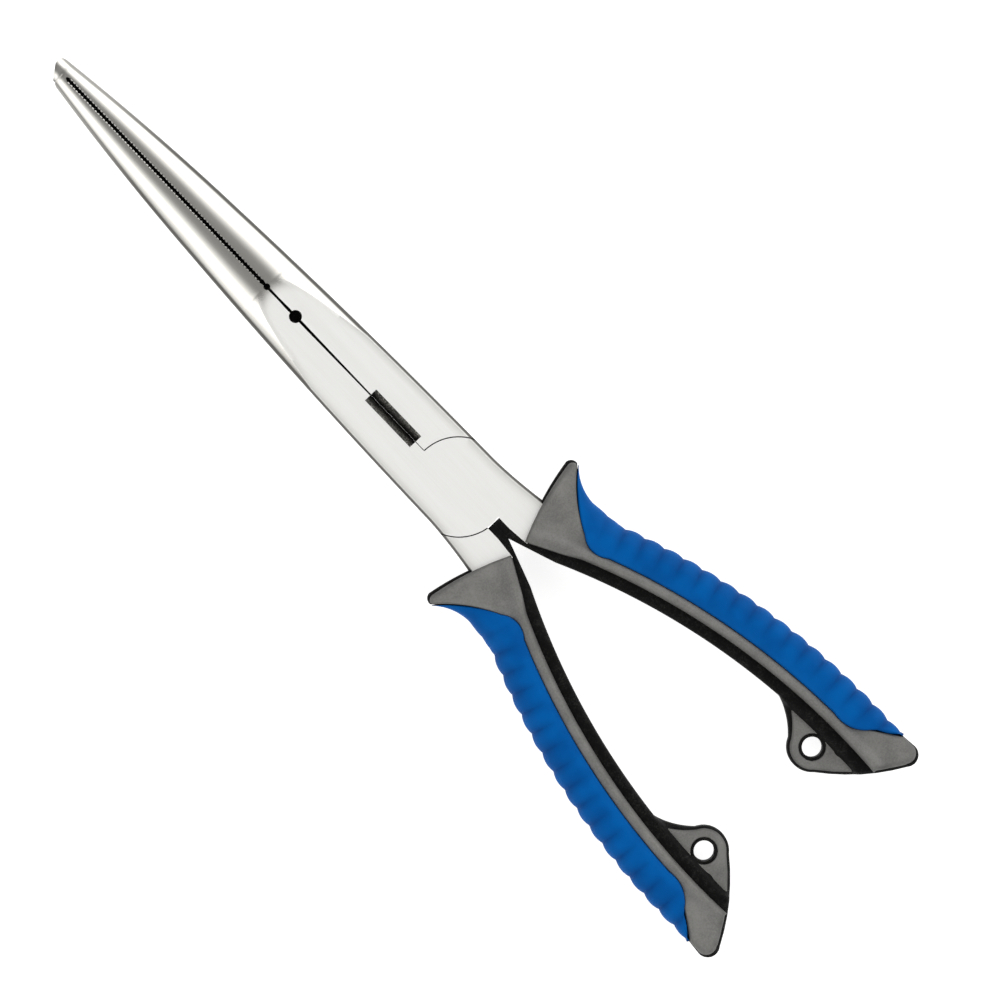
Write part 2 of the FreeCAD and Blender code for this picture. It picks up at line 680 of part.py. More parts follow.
def make_handle(side, hand, lever):
    """The four moulded pieces on one tang; hand is the side that the handle is on."""
    core = make_core_blank(side + "_core", hand)
    cut_away(side + "_handle_core", core, [lever])
    cut_away(side + "_handle_shell", make_shell_blank(side + "_shell", hand), [core, lever])
    cut_away(side + "_grip", make_grip_blank(side + "_grip", hand), [core])
    cut_away(side + "_lanyard_cover", make_cover_blank(side + "_cover", hand), [core])


# ---------------------------------------------------------------- the assembly

plain_blank = make_blank("plain", -1, plain_tip())
tooth_blank = make_blank("tooth", 1, tooth_tip())
nose_stock = make_nose_stock()
cut_away("plain_lever", plain_blank, [nose_stock])
cut_away("tooth_lever", tooth_blank, [nose_stock])
make_rivet()
make_blade("plain_cutter_blade", -1)
make_blade("tooth_cutter_blade", 1)
make_handle("right", 1, plain_blank)
make_handle("left", -1, tooth_blank)
doc.recompute()

for item in doc.Objects:
    if "Invalid" in item.State or "Error" in item.State:
        raise RuntimeError(item.Name + " did not compute")
for piece in PIECES:
    if piece.Shape.isNull() or not piece.Shape.isValid():
        raise RuntimeError(piece.Label + " has no valid shape")

os.makedirs("parts", exist_ok=True)
for piece in PIECES:
    piece.Shape.exportStep("parts/" + piece.Label + ".step")
    box = piece.Shape.BoundBox
    print("%-22s %d solid(s) %9.1f mm3  x %7.2f %7.2f  y %8.2f %8.2f  z %6.2f %6.2f" % (
        piece.Label, len(piece.Shape.Solids), piece.Shape.Volume,
        box.XMin, box.XMax, box.YMin, box.YMax, box.ZMin, box.ZMax))
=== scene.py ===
# %% [markdown]
# # Long-reach fishing pliers
# Two forged steel levers turn on one rivet. Each has a ground nose, half of a side cutter, and a
# tang inside a moulded handle with a ribbed grip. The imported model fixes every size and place;
# this lesson gives each piece its real shape and finish around it.

# %% Load the frame
import json
import math

import bmesh
import bpy
import numpy as np
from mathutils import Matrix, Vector
from mathutils.geometry import delaunay_2d_cdt


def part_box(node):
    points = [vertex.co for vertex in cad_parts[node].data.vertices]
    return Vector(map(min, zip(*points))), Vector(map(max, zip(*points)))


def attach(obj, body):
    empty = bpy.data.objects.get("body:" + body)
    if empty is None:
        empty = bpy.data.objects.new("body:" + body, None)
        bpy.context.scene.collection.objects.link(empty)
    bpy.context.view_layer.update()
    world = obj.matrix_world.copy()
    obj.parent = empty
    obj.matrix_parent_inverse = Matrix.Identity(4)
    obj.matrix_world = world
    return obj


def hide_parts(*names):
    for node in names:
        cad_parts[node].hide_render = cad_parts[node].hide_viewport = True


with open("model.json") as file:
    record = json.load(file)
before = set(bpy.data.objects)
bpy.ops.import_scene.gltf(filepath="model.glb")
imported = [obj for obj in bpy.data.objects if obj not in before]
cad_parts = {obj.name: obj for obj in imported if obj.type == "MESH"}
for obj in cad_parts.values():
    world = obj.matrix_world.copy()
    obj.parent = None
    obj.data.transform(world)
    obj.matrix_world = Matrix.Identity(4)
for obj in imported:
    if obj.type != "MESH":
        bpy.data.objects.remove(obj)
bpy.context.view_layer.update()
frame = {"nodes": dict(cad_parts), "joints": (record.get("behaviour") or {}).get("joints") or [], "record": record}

print("pieces in the frame:", len(frame["nodes"]))

# %% [markdown]
# ## Driving sizes
# All shapes are drawn in millimetres about the pivot, with +Y to the jaw tips and +Z out of the
# front face, because that is how a toolmaker draws pliers. The frame gives the pivot, the reach
# and the thicknesses; the rest are the same values that the levers are forged and ground to.

# %% Sizes from the frame
MM = 0.001
PIVOT = Vector(frame["joints"][0]["pos_m"])


def reach(node, axis, end):
    """How far a node goes from the pivot along an axis, in millimetres; end is 0 for low, 1 for high."""
    return (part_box(node)[end][axis] - PIVOT[axis]) / MM


HEAD_HALF = reach("plain_lever", 2, 1)
CORE_HALF = reach("left_handle_core", 2, 1)
SHELL_HALF = reach("left_handle_shell", 2, 1)
GRIP_HALF = reach("left_grip", 2, 1)
COVER_HALF = reach("left_lanyard_cover", 2, 1)
TIP_Y = reach("tooth_lever", 1, 1)
PLAIN_END = reach("plain_lever", 1, 1)
TAIL_Y = reach("left_handle_shell", 1, 0)
HOLE = frame["record"]["mounts"][0]
HOLE_X = abs(HOLE["pos_m"][0] - PIVOT.x) / MM
HOLE_Y = (HOLE["pos_m"][1] - PIVOT.y) / MM
HOLE_RADIUS = HOLE["dims"]["r_mm"]
CUTTER_LOW = reach("plain_cutter_blade", 1, 0)
CUTTER_HIGH = reach("plain_cutter_blade", 1, 1)
print(f"head {HEAD_HALF * 2:.1f} mm thick, jaws reach {TIP_Y:.1f} mm, tails reach {-TAIL_Y:.1f} mm")

# %% Sizes of the head
JOINT_RADIUS = 12.6
JOINT_HALF_WIDTH = 11.4
NOSE_MID_Y = 90.0
NOSE_MID_HALF_WIDTH = 8.5
TIP_HALF_WIDTH = 3.5
TIP_HALF_THICK = 2.25
NOSE_START = 71.0
FADE_LENGTH = 27.0
FADE_POWER = 0.3
EDGE_ROUND = 0.9
CUTTER_DEPTH = 2.0
TOOTH_PITCH = 1.0
TEETH_LOW, TEETH_HIGH = 72.5, 143.5
print(f"joint {JOINT_RADIUS * 2:.1f} mm across, flats end {NOSE_START:.0f} mm above the pivot")

# %% [markdown]
# ## A small language for node trees
# Material and geometry trees read best as sums. `Value` wraps one socket and gives it Python's
# arithmetic, so `1 - mask` adds a Math node by itself. `Graph.node` makes every other node from
# its type, its settings and its inputs.

# %% A socket with arithmetic
class Value:
    """One output socket, with arithmetic that adds Math nodes."""

    def __init__(self, graph, socket):
        self.graph = graph
        self.socket = socket

    def math(self, operation, *others):
        return self.graph.node("ShaderNodeMath", {"operation": operation}, [self, *others])

    def __add__(self, other):
        return self.math("ADD", other)

    def __sub__(self, other):
        return self.math("SUBTRACT", other)

    def __mul__(self, other):
        return self.math("MULTIPLY", other)

    def __truediv__(self, other):
        return self.math("DIVIDE", other)

    def __rsub__(self, other):
        return self.graph.node("ShaderNodeMath", {"operation": "SUBTRACT"}, [other, self])

    __radd__ = __add__
    __rmul__ = __mul__

    def smooth(self, low, high):
        """0 below low, 1 above high, and a soft step between them."""
        settings = {"interpolation_type": "SMOOTHSTEP"}
        return self.graph.node("ShaderNodeMapRange", settings, {0: self, 1: low, 2: high})


# %% A tree under construction
class Graph:
    """A node tree being built."""

    def __init__(self, tree):
        self.tree = tree
        tree.nodes.clear()

    def node(self, kind, settings=None, inputs=None, output=0):
        """Adds a node and returns one of its outputs."""
        made = self.tree.nodes.new(kind)
        for name, value in (settings or {}).items():
            setattr(made, name, value)
        pairs = inputs.items() if isinstance(inputs, dict) else enumerate(inputs or [])
        for key, value in pairs:
            if isinstance(value, Value):
                self.tree.links.new(value.socket, made.inputs[key])
            else:
                made.inputs[key].default_value = value
        return Value(self, made.outputs[output]) if made.outputs else made

    def blend(self, share, low, high):
        """A colour between two colours."""
        settings = {"data_type": "RGBA"}
        return self.node("ShaderNodeMix", settings, {0: share, 6: low, 7: high}, output=2)

    def place(self):
        """Where a point of the piece is, in metres in the row frame."""
        return self.node("ShaderNodeTexCoord", output="Object")

    def noise(self, scale, detail=3.0, rough=0.55):
        """Noise about the piece; three scales stretch it, for a grain with a direction."""
        vector = self.place()
        if isinstance(scale, tuple):
            vector = self.node("ShaderNodeMapping", None, {"Vector": vector, "Scale": scale})
            scale = 1.0
        inputs = {"Vector": vector, "Scale": scale, "Detail": detail, "Roughness": rough}
        return self.node("ShaderNodeTexNoise", None, inputs)

    def bump(self, height, strength, distance):
        inputs = {"Height": height, "Strength": strength, "Distance": distance}
        return self.node("ShaderNodeBump", None, inputs)

    def painted(self, name):
        """A value stored on the mesh."""
        return self.node("ShaderNodeAttribute", {"attribute_name": name}, output="Fac")


# %% A finish and a grey
def finish_named(name, fixed, varying):
    """A material; varying(graph) gives the sockets that change over the surface."""
    material = bpy.data.materials.new(name)
    material.use_nodes = True
    graph = Graph(material.node_tree)
    inputs = dict(fixed)
    inputs.update(varying(graph))
    shader = graph.node("ShaderNodeBsdfPrincipled", None, inputs)
    graph.node("ShaderNodeOutputMaterial", None, {"Surface": shader})
    return material


def grey(level, warmth=0.0):
    """A near-neutral colour; warmth takes a little blue out."""
    return (level, level * (1 - warmth * 0.3), level * (1 - warmth), 1.0)


print("a warm mid grey:", [round(channel, 3) for channel in grey(0.2, 0.1)])

# %% [markdown]
# ## Steel finishes
# The flats are belt-brushed along the jaws, so their grain is a noise stretched far along Y and
# read by colour, roughness and bump together. The nose is polished, and the polish runs out over
# the flats, so one finish goes from brushed to polished by `polish`, a value stored on the levers.
# `rim` is stored there too: it is painted shade that darkens the rolled edges. Cut walls are bright
# machined steel, and the level faces of the recesses below them are painted near black as shadow.

# %% Ground steel
SCRATCHES = (5200, 90, 300)
STREAKS = (420, 14, 60)
POLISHING_HAZE = (1400, 60, 400)
MILLING_MARKS = (300, 4000, 300)


def ground(graph):
    fine = graph.noise(SCRATCHES)
    broad = graph.noise(STREAKS, 2.0)
    haze = graph.noise(POLISHING_HAZE)
    grain = fine * 0.6 + broad * 0.4
    polish = graph.painted("polish")
    # `rim` is painted shade: the colour of the rolled edges goes towards a dark grey, and they are rougher
    rim = graph.painted("rim") * polish
    flats = graph.blend(grain.smooth(0.25, 0.75), grey(0.93, 0.02), grey(0.99, 0.01))
    nose = graph.blend(haze, grey(0.84, 0.07), grey(0.89, 0.07))
    shaded_edge = graph.blend(rim, nose, grey(0.09, 0.1))
    return {"Base Color": graph.blend(polish, flats, shaded_edge),
            "Metallic": 0.2 + polish * 0.8,
            "Roughness": 0.48 + grain * 0.14 - polish * 0.38 + haze * 0.04 + rim * 0.2,
            "Normal": graph.bump(fine * (1 - polish * 0.8), 0.12, 0.00002)}


# %% Cut steel, painted shadow, and carbide
def machined(graph):
    marks = graph.noise(MILLING_MARKS)
    return {"Base Color": graph.blend(marks, grey(0.5, 0.04), grey(0.66, 0.04)),
            "Roughness": 0.36 + marks * 0.2,
            "Normal": graph.bump(marks, 0.1, 0.00003)}


# Near-black steel for the level faces down in the web and the lap: painted shadow, as dark as the shade in the
# gaps between the jaws.
def shadow_black(graph):
    mottle = graph.noise(900.0)
    return {"Base Color": graph.blend(mottle, grey(0.006), grey(0.018)),
            "Roughness": 0.5 + mottle * 0.2}


def carbide(graph):
    grit = graph.noise(2600.0, 4.0)
    return {"Base Color": graph.blend(grit.smooth(0.42, 0.68), grey(0.03), grey(0.38, 0.12)),
            "Roughness": 0.5 + grit * 0.25,
            "Normal": graph.bump(grit, 0.4, 0.00005)}


GROUND_STEEL = finish_named("ground_steel", {}, ground)
MACHINED_STEEL = finish_named("machined_steel", {"Metallic": 1.0}, machined)
SHADOW_BLACK_STEEL = finish_named("shadow_black_steel", {"Metallic": 1.0}, shadow_black)
CUTTER_CARBIDE = finish_named("cutter_carbide", {"Metallic": 0.6}, carbide)
print("steel finishes:", [material.name for material in bpy.data.materials])

# %% [markdown]
# ## Moulded finishes
# The dark core is a hard plastic from a spark-eroded mould, with tiny peaks, and its colour is
# painted lighter on them as glints. The grey shell has a finer texture of the same kind, and the
# grip is satin rubber with painted shade in its grooves. `groove` is stored on the grips by the node
# tree that presses the ribs, and `edge` on every moulding by the function that rolls its edges, for
# painted shade that darkens them.

# %% Plastics
def spark_eroded(graph):
    peaks = graph.noise(3000.0, 5.0, 0.7)
    patches = graph.noise(500.0, 3.0)
    light = (peaks * 0.7 + patches * 0.3).smooth(0.48, 0.68)
    # The colour is painted lighter on the peaks, as glints of light on them; the bump is real texture
    return {"Base Color": graph.blend(light, grey(0.002), grey(0.026, 0.05)),
            "Roughness": 0.5 + peaks * 0.25,
            "Normal": graph.bump(peaks, 0.5, 0.00006)}


def fine_texture(graph):
    peaks = graph.noise(2200.0, 4.0, 0.6)
    patches = graph.noise(160.0, 3.0)
    tone = (peaks * 0.5 + patches * 0.5).smooth(0.3, 0.7)
    skin = graph.blend(tone, grey(0.145, 0.05), grey(0.235, 0.05))
    # `edge` paints shade on the rolled edges: the skin's colour goes towards near black there
    return {"Base Color": graph.blend(graph.painted("edge") * 0.6, skin, grey(0.03, 0.05)),
            "Roughness": 0.48 + peaks * 0.18,
            "Normal": graph.bump(peaks, 0.25, 0.00005)}


# %% Rubber
BLUE, PALE_BLUE = (0.0, 0.09, 0.355, 1), (0.0, 0.115, 0.43, 1)
GROOVE_SHADE_BLUE, EDGE_SHADE_BLUE = (0.0, 0.055, 0.24, 1), (0.0, 0.05, 0.19, 1)


def satin_rubber(graph):
    groove = graph.painted("groove")
    skin = graph.noise(1500.0, 3.0)
    patches = graph.noise(110.0, 2.0)
    colour = graph.blend(patches.smooth(0.3, 0.7), BLUE, PALE_BLUE)
    # painted shade in the grooves, from the depth that the rib tree stored
    pressed = graph.blend(groove, colour, GROOVE_SHADE_BLUE)
    # `edge` paints shade on the rolled edges, towards a dark blue
    return {"Base Color": graph.blend(graph.painted("edge") * 0.35, pressed, EDGE_SHADE_BLUE),
            "Roughness": 0.46 + skin * 0.14,
            "Normal": graph.bump(skin, 0.15, 0.00005)}


CORE_PLASTIC = finish_named("core_plastic", {"Specular IOR Level": 0.12}, spark_eroded)
SHELL_PLASTIC = finish_named("shell_plastic", {"Specular IOR Level": 0.35}, fine_texture)
GRIP_RUBBER = finish_named("grip_rubber", {"Specular IOR Level": 0.05}, satin_rubber)
print("finishes so far:", [material.name for material in bpy.data.materials])

# %% [markdown]
# ## From drawing to mesh
# Outlines are drawn as corners joined by straight lines and arcs. A corner is (x, y), or
# (x, y, radius, turn) when an arc runs from it to the next one: turn 1 curves left, -1 right.
# The left-hand pieces are mirror images, so `make_object` flips x and the faces with it.

# %% Lines, arcs and soft steps
def step_up(value, low, high):
    """0 below low, 1 above high, smooth between them."""
    share = np.clip((value - low) / (high - low), 0, 1)
    return share * share * (3 - 2 * share)


def arc(start, end, radius, turn, step):
    """Points along an arc, without its end."""
    start, end = np.array(start, float), np.array(end, float)
    chord = end - start
    length = np.hypot(*chord)
    left = np.array([-chord[1], chord[0]]) / length
    rise = math.sqrt(max(radius * radius - length * length / 4, 0))
    centre = (start + end) / 2 + left * rise * turn
    first = math.atan2(*(start - centre)[::-1])
    sweep = 2 * math.asin(min(1.0, length / 2 / radius)) * turn
    count = max(2, math.ceil(abs(sweep) * radius / step))
    angles = first + sweep * np.arange(count) / count
    return centre + radius * np.stack([np.cos(angles), np.sin(angles)], axis=1)


def side_points(corner, following, bend, step):
    """Points from a corner towards the next one; bend is (radius, turn), or () for a line."""
    if bend:
        return arc(corner[:2], following[:2], *bend, step)
    start, end = np.array(corner[:2], float), np.array(following[:2], float)
    count = max(1, math.ceil(np.hypot(*(end - start)) / step))
    return start + (end - start) * (np.arange(count)[:, None] / count)


def trace(corners, step=0.6):
    """An outline as an array of points; corners are joined by lines and arcs."""
    pairs = zip(corners, corners[1:] + corners[:1])
    return np.concatenate([side_points(corner, following, corner[2:], step)
                           for corner, following in pairs])


print("a quarter turn of 10 mm:", len(arc((10, 0), (0, 10), 10, 1, 0.6)), "points")


# %% Points and faces to an object
def linked(name, data):
    """A new object in the scene."""
    thing = bpy.data.objects.new(name, data)
    bpy.context.scene.collection.objects.link(thing)
    return thing


def make_object(name, points, faces, materials, hand=1):
    """A mesh object from points in millimetres about the pivot; hand -1 mirrors it to the left."""
    mesh = bpy.data.meshes.new(name)
    placed = [(x * hand * MM + PIVOT.x, y * MM + PIVOT.y, z * MM + PIVOT.z) for x, y, z in points]
    mesh.from_pydata(placed, [], [face[::hand] for face in faces])
    for material in materials:
        mesh.materials.append(material)
    return linked(name, mesh)


def clean(thing, distance=1e-7):
    """Merges doubled points and turns the faces outwards."""
    work = bmesh.new()
    work.from_mesh(thing.data)
    bmesh.ops.remove_doubles(work, verts=work.verts, dist=distance)
    bmesh.ops.dissolve_degenerate(work, edges=work.edges, dist=1e-8)
    bmesh.ops.recalc_face_normals(work, faces=work.faces)
    work.to_mesh(thing.data)
    work.free()
    return thing


# %% Plates, lofts and turned pieces
def walls(size, rows):
    """Faces that join each closed row of points to the next."""
    faces = []
    for row in range(rows - 1):
        for i in range(size):
            a, b = row * size + i, row * size + (i + 1) % size
            faces.append((a, b, b + size, a + size))
    return faces


def slab(name, outline, low, high, hand=1):
    """A flat plate with the given outline, from one height to another."""
    count = len(outline)
    points = [(x, y, z) for z in (low, high) for x, y in outline]
    faces = [tuple(range(count))[::-1], tuple(range(count, 2 * count))] + walls(count, 2)
    return clean(make_object(name, points, faces, [], hand))


def loft(name, sections, materials):
    """Joins closed sections of equal length, and closes both ends."""
    size = len(sections[0])
    points = [point for section in sections for point in section]
    faces = [tuple(range(size)), tuple(range(len(points) - size, len(points)))[::-1]]
    return clean(make_object(name, points, faces + walls(size, len(sections)), materials))


def lathe(name, profile, turns=64):
    """A solid turned about the pivot, from (radius, height) points."""
    points = []
    for radius, height in profile:
        for i in range(turns):
            angle = 2 * math.pi * i / turns
            points.append((radius * math.cos(angle), radius * math.sin(angle), height))
    faces = walls(turns, len(profile)) + [tuple(range(turns))[::-1]]
    faces.append(tuple(range(len(points) - turns, len(points))))
    return clean(make_object(name, points, faces, []))


# %% Modifiers and cuts
def baked(thing):
    """Applies the modifiers of an object to its mesh."""
    graph = bpy.context.evaluated_depsgraph_get()
    mesh = bpy.data.meshes.new_from_object(thing.evaluated_get(graph), depsgraph=graph)
    thing.modifiers.clear()
    old = thing.data
    thing.data = mesh
    mesh.name = thing.name
    bpy.data.meshes.remove(old)
    return thing


def machine(thing, operation, tool):
    """Cuts, joins or intersects with a tool, which is used up."""
    cut = thing.modifiers.new("cut", "BOOLEAN")
    cut.operation = operation
    cut.object = tool
    cut.solver = "EXACT"
    baked(thing)
    bpy.data.objects.remove(tool)
    return thing


# %% [markdown]
# ## The ground blank
# On the bench a lever starts as a forging that is ground to an elliptical nose and a flat joint.
# A polygon box could only be bevelled to guess at that, so the blank is lofted by rule instead:
# at each station along the jaws the height is the lower of the flat face and an ellipse. Where
# the ellipse dips below the flat face is the line where the brushed flat ends.

# %% Widths of the blank
NECK_FLARE, NECK_LENGTH = 1.6, 17.0
SHOULDER_RADIUS, NOSE_RADIUS = 1790.0, 720.0
NOSE_MARGIN = 0.15
CROWN_MARGIN, CROWN_LENGTH = 0.8, 30.0


def half_width(y):
    """Half width of the closed head: a flaring neck and two flat arcs."""
    if y < 0:
        return JOINT_HALF_WIDTH + NECK_FLARE * (-y / NECK_LENGTH) ** 1.6
    if y < NOSE_MID_Y:
        ends, low = (JOINT_HALF_WIDTH, NOSE_MID_HALF_WIDTH), 0
        length, radius = NOSE_MID_Y, SHOULDER_RADIUS
    else:
        ends, low = (NOSE_MID_HALF_WIDTH, TIP_HALF_WIDTH), NOSE_MID_Y
        length, radius = PLAIN_END - NOSE_MID_Y, NOSE_RADIUS
    share = (y - low) / length
    return ends[0] + (ends[1] - ends[0]) * share + length ** 2 * share * (1 - share) / (2 * radius)


def flat_half_width(y):
    """How far the brushed flat reaches from the middle at a station."""
    share = min(max((NOSE_START - y) / FADE_LENGTH, 0), 1)
    return (half_width(y) - EDGE_ROUND) * share ** FADE_POWER


def ellipse(y):
    """Half width and half height of the ellipse that the nose is ground to at a station."""
    crown = CROWN_MARGIN * (1 - step_up(y, NOSE_START, NOSE_START + CROWN_LENGTH))
    wide = half_width(y) + NOSE_MARGIN + crown
    if y >= NOSE_START:
        taper = (HEAD_HALF - TIP_HALF_THICK) / (PLAIN_END - NOSE_START)
        return wide, HEAD_HALF - (y - NOSE_START) * taper
    wide += min((NOSE_START - y) / FADE_LENGTH, 1)
    return wide, HEAD_HALF / math.sqrt(1 - (flat_half_width(y) / wide) ** 2)


# %% Heights of the blank
def face_height(x, y):
    """Height of the head's face above the middle plane."""
    wide, high = ellipse(y)
    return min(HEAD_HALF, high * math.sqrt(max(1 - (x / wide) ** 2, 0.0)))


def quarter_section(y):
    """Points of the section from the middle of the face round its edge to the side wall."""
    wide = half_width(y)
    inner = wide - EDGE_ROUND
    flat = flat_half_width(y)
    drop = min(EDGE_ROUND, 0.7 * face_height(wide, y))
    level = np.linspace(0, flat, 6)[:-1]
    curved = flat + (inner - flat) * np.linspace(0, 1, 26) ** 0.8
    points = [(x, face_height(x, y)) for x in np.concatenate([level, curved])]
    for angle in np.linspace(0, math.pi / 2, 8)[1:]:
        x = inner + EDGE_ROUND * math.sin(angle)
        points.append((x, face_height(x, y) - drop * (1 - math.cos(angle))))
    return points


def full_section(y):
    quarter = quarter_section(y)
    half = [(-x, z) for x, z in quarter[:0:-1]] + quarter
    return [(x, y, z) for x, z in half] + [(x, y, -z) for x, z in half[::-1]]


BLANK_START, TIP_START = -24.0, 144.0
FADE_START = NOSE_START - FADE_LENGTH
STATIONS = np.concatenate([np.arange(BLANK_START, FADE_START - 0.1, 1.5),
                           np.arange(FADE_START, NOSE_START, 0.5),
                           np.arange(NOSE_START, TIP_START - 0.1, 1.0),
                           np.arange(TIP_START, TIP_Y + 0.6, 0.4)])
print("blank stations:", len(STATIONS), "points a section:", len(full_section(0)))

# %% [markdown]
# ## The levers
# Each lever is the blank cut to its own plan: gripping face, notches, cutter seat, joint disc and
# neck. A half-lap then takes away half the thickness round the joint of each one. Exact booleans
# suit this, because they repeat the milling: they leave the ground nose untouched and give true
# edges where tools have passed.

# %% Sizes of the cuts
LAP_GAP = 0.3
# The relief stops WEB_HALF short of the middle plane, so a web of steel, finished near black, closes the notches
# and the gap between the jaws: a dark sheet that stands in for the shadow through them.
WEB_GAP, WEB_HALF = 0.003, 0.9
RELIEF, ROOT = 0.38, 0.62
CRIMP_Y, CRIMP_RADIUS = 60.0, 1.67
WIRE_Y, WIRE_RADIUS = 70.5, 0.87
CROTCH_HALF, CROTCH_Y = 1.95, -16.55
NECK_Y = -22.4
OUT = 22.0
TOOTH_UNDER = PLAIN_END + 0.25
BEYOND = 1.0
print(f"crimping notch {CRIMP_RADIUS * 2:.2f} mm and wire notch {WIRE_RADIUS * 2:.2f} mm across")


# %% Plans of the levers
def notch(y, radius, gap, count=14):
    """Half of a round notch in the gripping face, from its bottom to its top."""
    high = math.acos(gap / radius)
    angles = np.linspace(high, -high, count)[::-1]
    return [(radius * math.cos(a), y + radius * math.sin(a)) for a in angles]


def gripping_face():
    """The inner edge of a jaw in its middle plane, from its end down to the joint disc."""
    return [(WEB_GAP, TEETH_HIGH), (WEB_GAP, CUTTER_HIGH), (CUTTER_DEPTH, CUTTER_HIGH),
            (CUTTER_DEPTH, CUTTER_LOW), (WEB_GAP, CUTTER_LOW), (WEB_GAP, JOINT_RADIUS)]


def relief_plan():
    """What is milled from each face: room for the teeth, the two notches and the relief."""
    low, high = JOINT_RADIUS + 0.3, TEETH_HIGH + 0.9
    blade_room = [(0.1, CUTTER_LOW + 0.5), (0.2, CUTTER_HIGH - 0.5), (RELIEF, 57.0)]
    between = [(RELIEF, 63.0), (0.3, 66.5)]
    teeth = [(ROOT, TEETH_LOW), (ROOT, TEETH_HIGH), (0.25, high)]
    return trace([(-BEYOND, low), (0.1, low)] + blade_room + notch(CRIMP_Y, CRIMP_RADIUS, RELIEF)
                 + between + notch(WIRE_Y, WIRE_RADIUS, 0.36) + teeth + [(-BEYOND, high)], 0.5)


def lever_plan(end):
    """The plan of a lever whose jaw is on +X; the outside is left to the blank."""
    flat_end = math.sqrt(JOINT_RADIUS ** 2 - JOINT_HALF_WIDTH ** 2)
    crotch = (-CROTCH_HALF, -math.sqrt(JOINT_RADIUS ** 2 - CROTCH_HALF ** 2))
    corners = gripping_face()
    corners[-1] = corners[-1] + (JOINT_RADIUS, 1)
    neck = [(-JOINT_HALF_WIDTH, flat_end), (-OUT, flat_end), (-OUT, NECK_Y), (-2.5, NECK_Y),
            (-CROTCH_HALF, CROTCH_Y), crotch + (JOINT_RADIUS, 1), (JOINT_HALF_WIDTH, -flat_end),
            (OUT, -flat_end)]
    return trace(corners + neck + end, 0.5)


PLAIN_JAW_END = [(OUT, PLAIN_END - 0.8), (TIP_HALF_WIDTH, PLAIN_END - 0.8, 0.85, 1),
                 (TIP_HALF_WIDTH - 0.9, PLAIN_END), (WEB_GAP, PLAIN_END)]
TOOTH_JAW_END = [(OUT, TIP_Y - 1.3), (3.15, TIP_Y - 1.3, 1.5, 1), (1.7, TIP_Y), (0.5, TIP_Y - 0.26),
                 (-3.0, TOOTH_UNDER + 0.4), (-3.0, TOOTH_UNDER), (WEB_GAP, TOOTH_UNDER)]
print("corners of the jaw ends:", len(PLAIN_JAW_END), len(TOOTH_JAW_END))

# %% [markdown]
# The faces are sorted by where they are and where they point. Inside the outline the upright ones
# are machined, and the level ones low down, on the web and the lap, are painted near black as
# shadow. All the rest is the ground skin, whose two values are painted on the points: `polish`, and
# `rim`, which is painted shade on the rolled edges.

# %% Paint the ground skin
# The painted shade on the rolled edges: how it fades inwards, how it eases towards the tip, and the ring of it
# round the tip's outline.
EDGE_SHADE_FADE, SHADE_HALO_FADE, TIP_FADE = (0.65, 1.25), (0.9, 2.6), (0.1, 0.9)
RUN_OUT, RUN_OUT_SIDE, FLAT_EDGE = (-4.5, 0.2), (2.5, 5.5), (-0.25, 0.35)
EDGE_SHADE_SHARE, SHADE_HALO_SHARE = 0.82, 0.18
SHADE_EASE_SHARE, SHADE_EASE_SPAN = 0.3, (105, 145)
TIP_ZONE = 3.0


def paint(thing, name, value_at):
    """Stores value_at(x, y) on each point, with x and y in millimetres about the pivot."""
    stored = thing.data.attributes.new(name, "FLOAT", "POINT")
    for vertex, value in zip(thing.data.vertices, stored.data):
        value.value = value_at((vertex.co.x - PIVOT.x) / MM, (vertex.co.y - PIVOT.y) / MM)


def edge_shade_at(x, y, tip):
    """How much painted shade a point gets: 1 on the rolled edge, fading to 0 inside it."""
    distance = half_width(min(y, PLAIN_END)) - abs(x) - 0.3 * step_up(-y, 0, 8)
    edge = 1 - EDGE_SHADE_SHARE * step_up(distance, *EDGE_SHADE_FADE) - SHADE_HALO_SHARE * step_up(distance, *SHADE_HALO_FADE)
    edge *= 1 - SHADE_EASE_SHARE * step_up(y, *SHADE_EASE_SPAN)
    if y > PLAIN_END - TIP_ZONE:
        near = np.hypot(tip[:, 0] - x, tip[:, 1] - y).min()
        edge = max(edge, SHADE_EASE_SHARE - SHADE_EASE_SHARE * step_up(near, *TIP_FADE))
    return edge


def polish_at(x, y):
    """Where the polish of the nose runs out over the brushed flat, from 0 to 1."""
    widest = half_width(NOSE_START) - EDGE_ROUND
    flat_end = NOSE_START - FADE_LENGTH * (abs(x) / widest) ** (1 / FADE_POWER)
    run_out = step_up(y - flat_end, *RUN_OUT) * (1 - step_up(abs(x), *RUN_OUT_SIDE))
    return max(run_out, step_up(abs(x) - flat_half_width(y), *FLAT_EDGE))


print("polish where the flats end:", round(float(polish_at(0, NOSE_START)), 2))


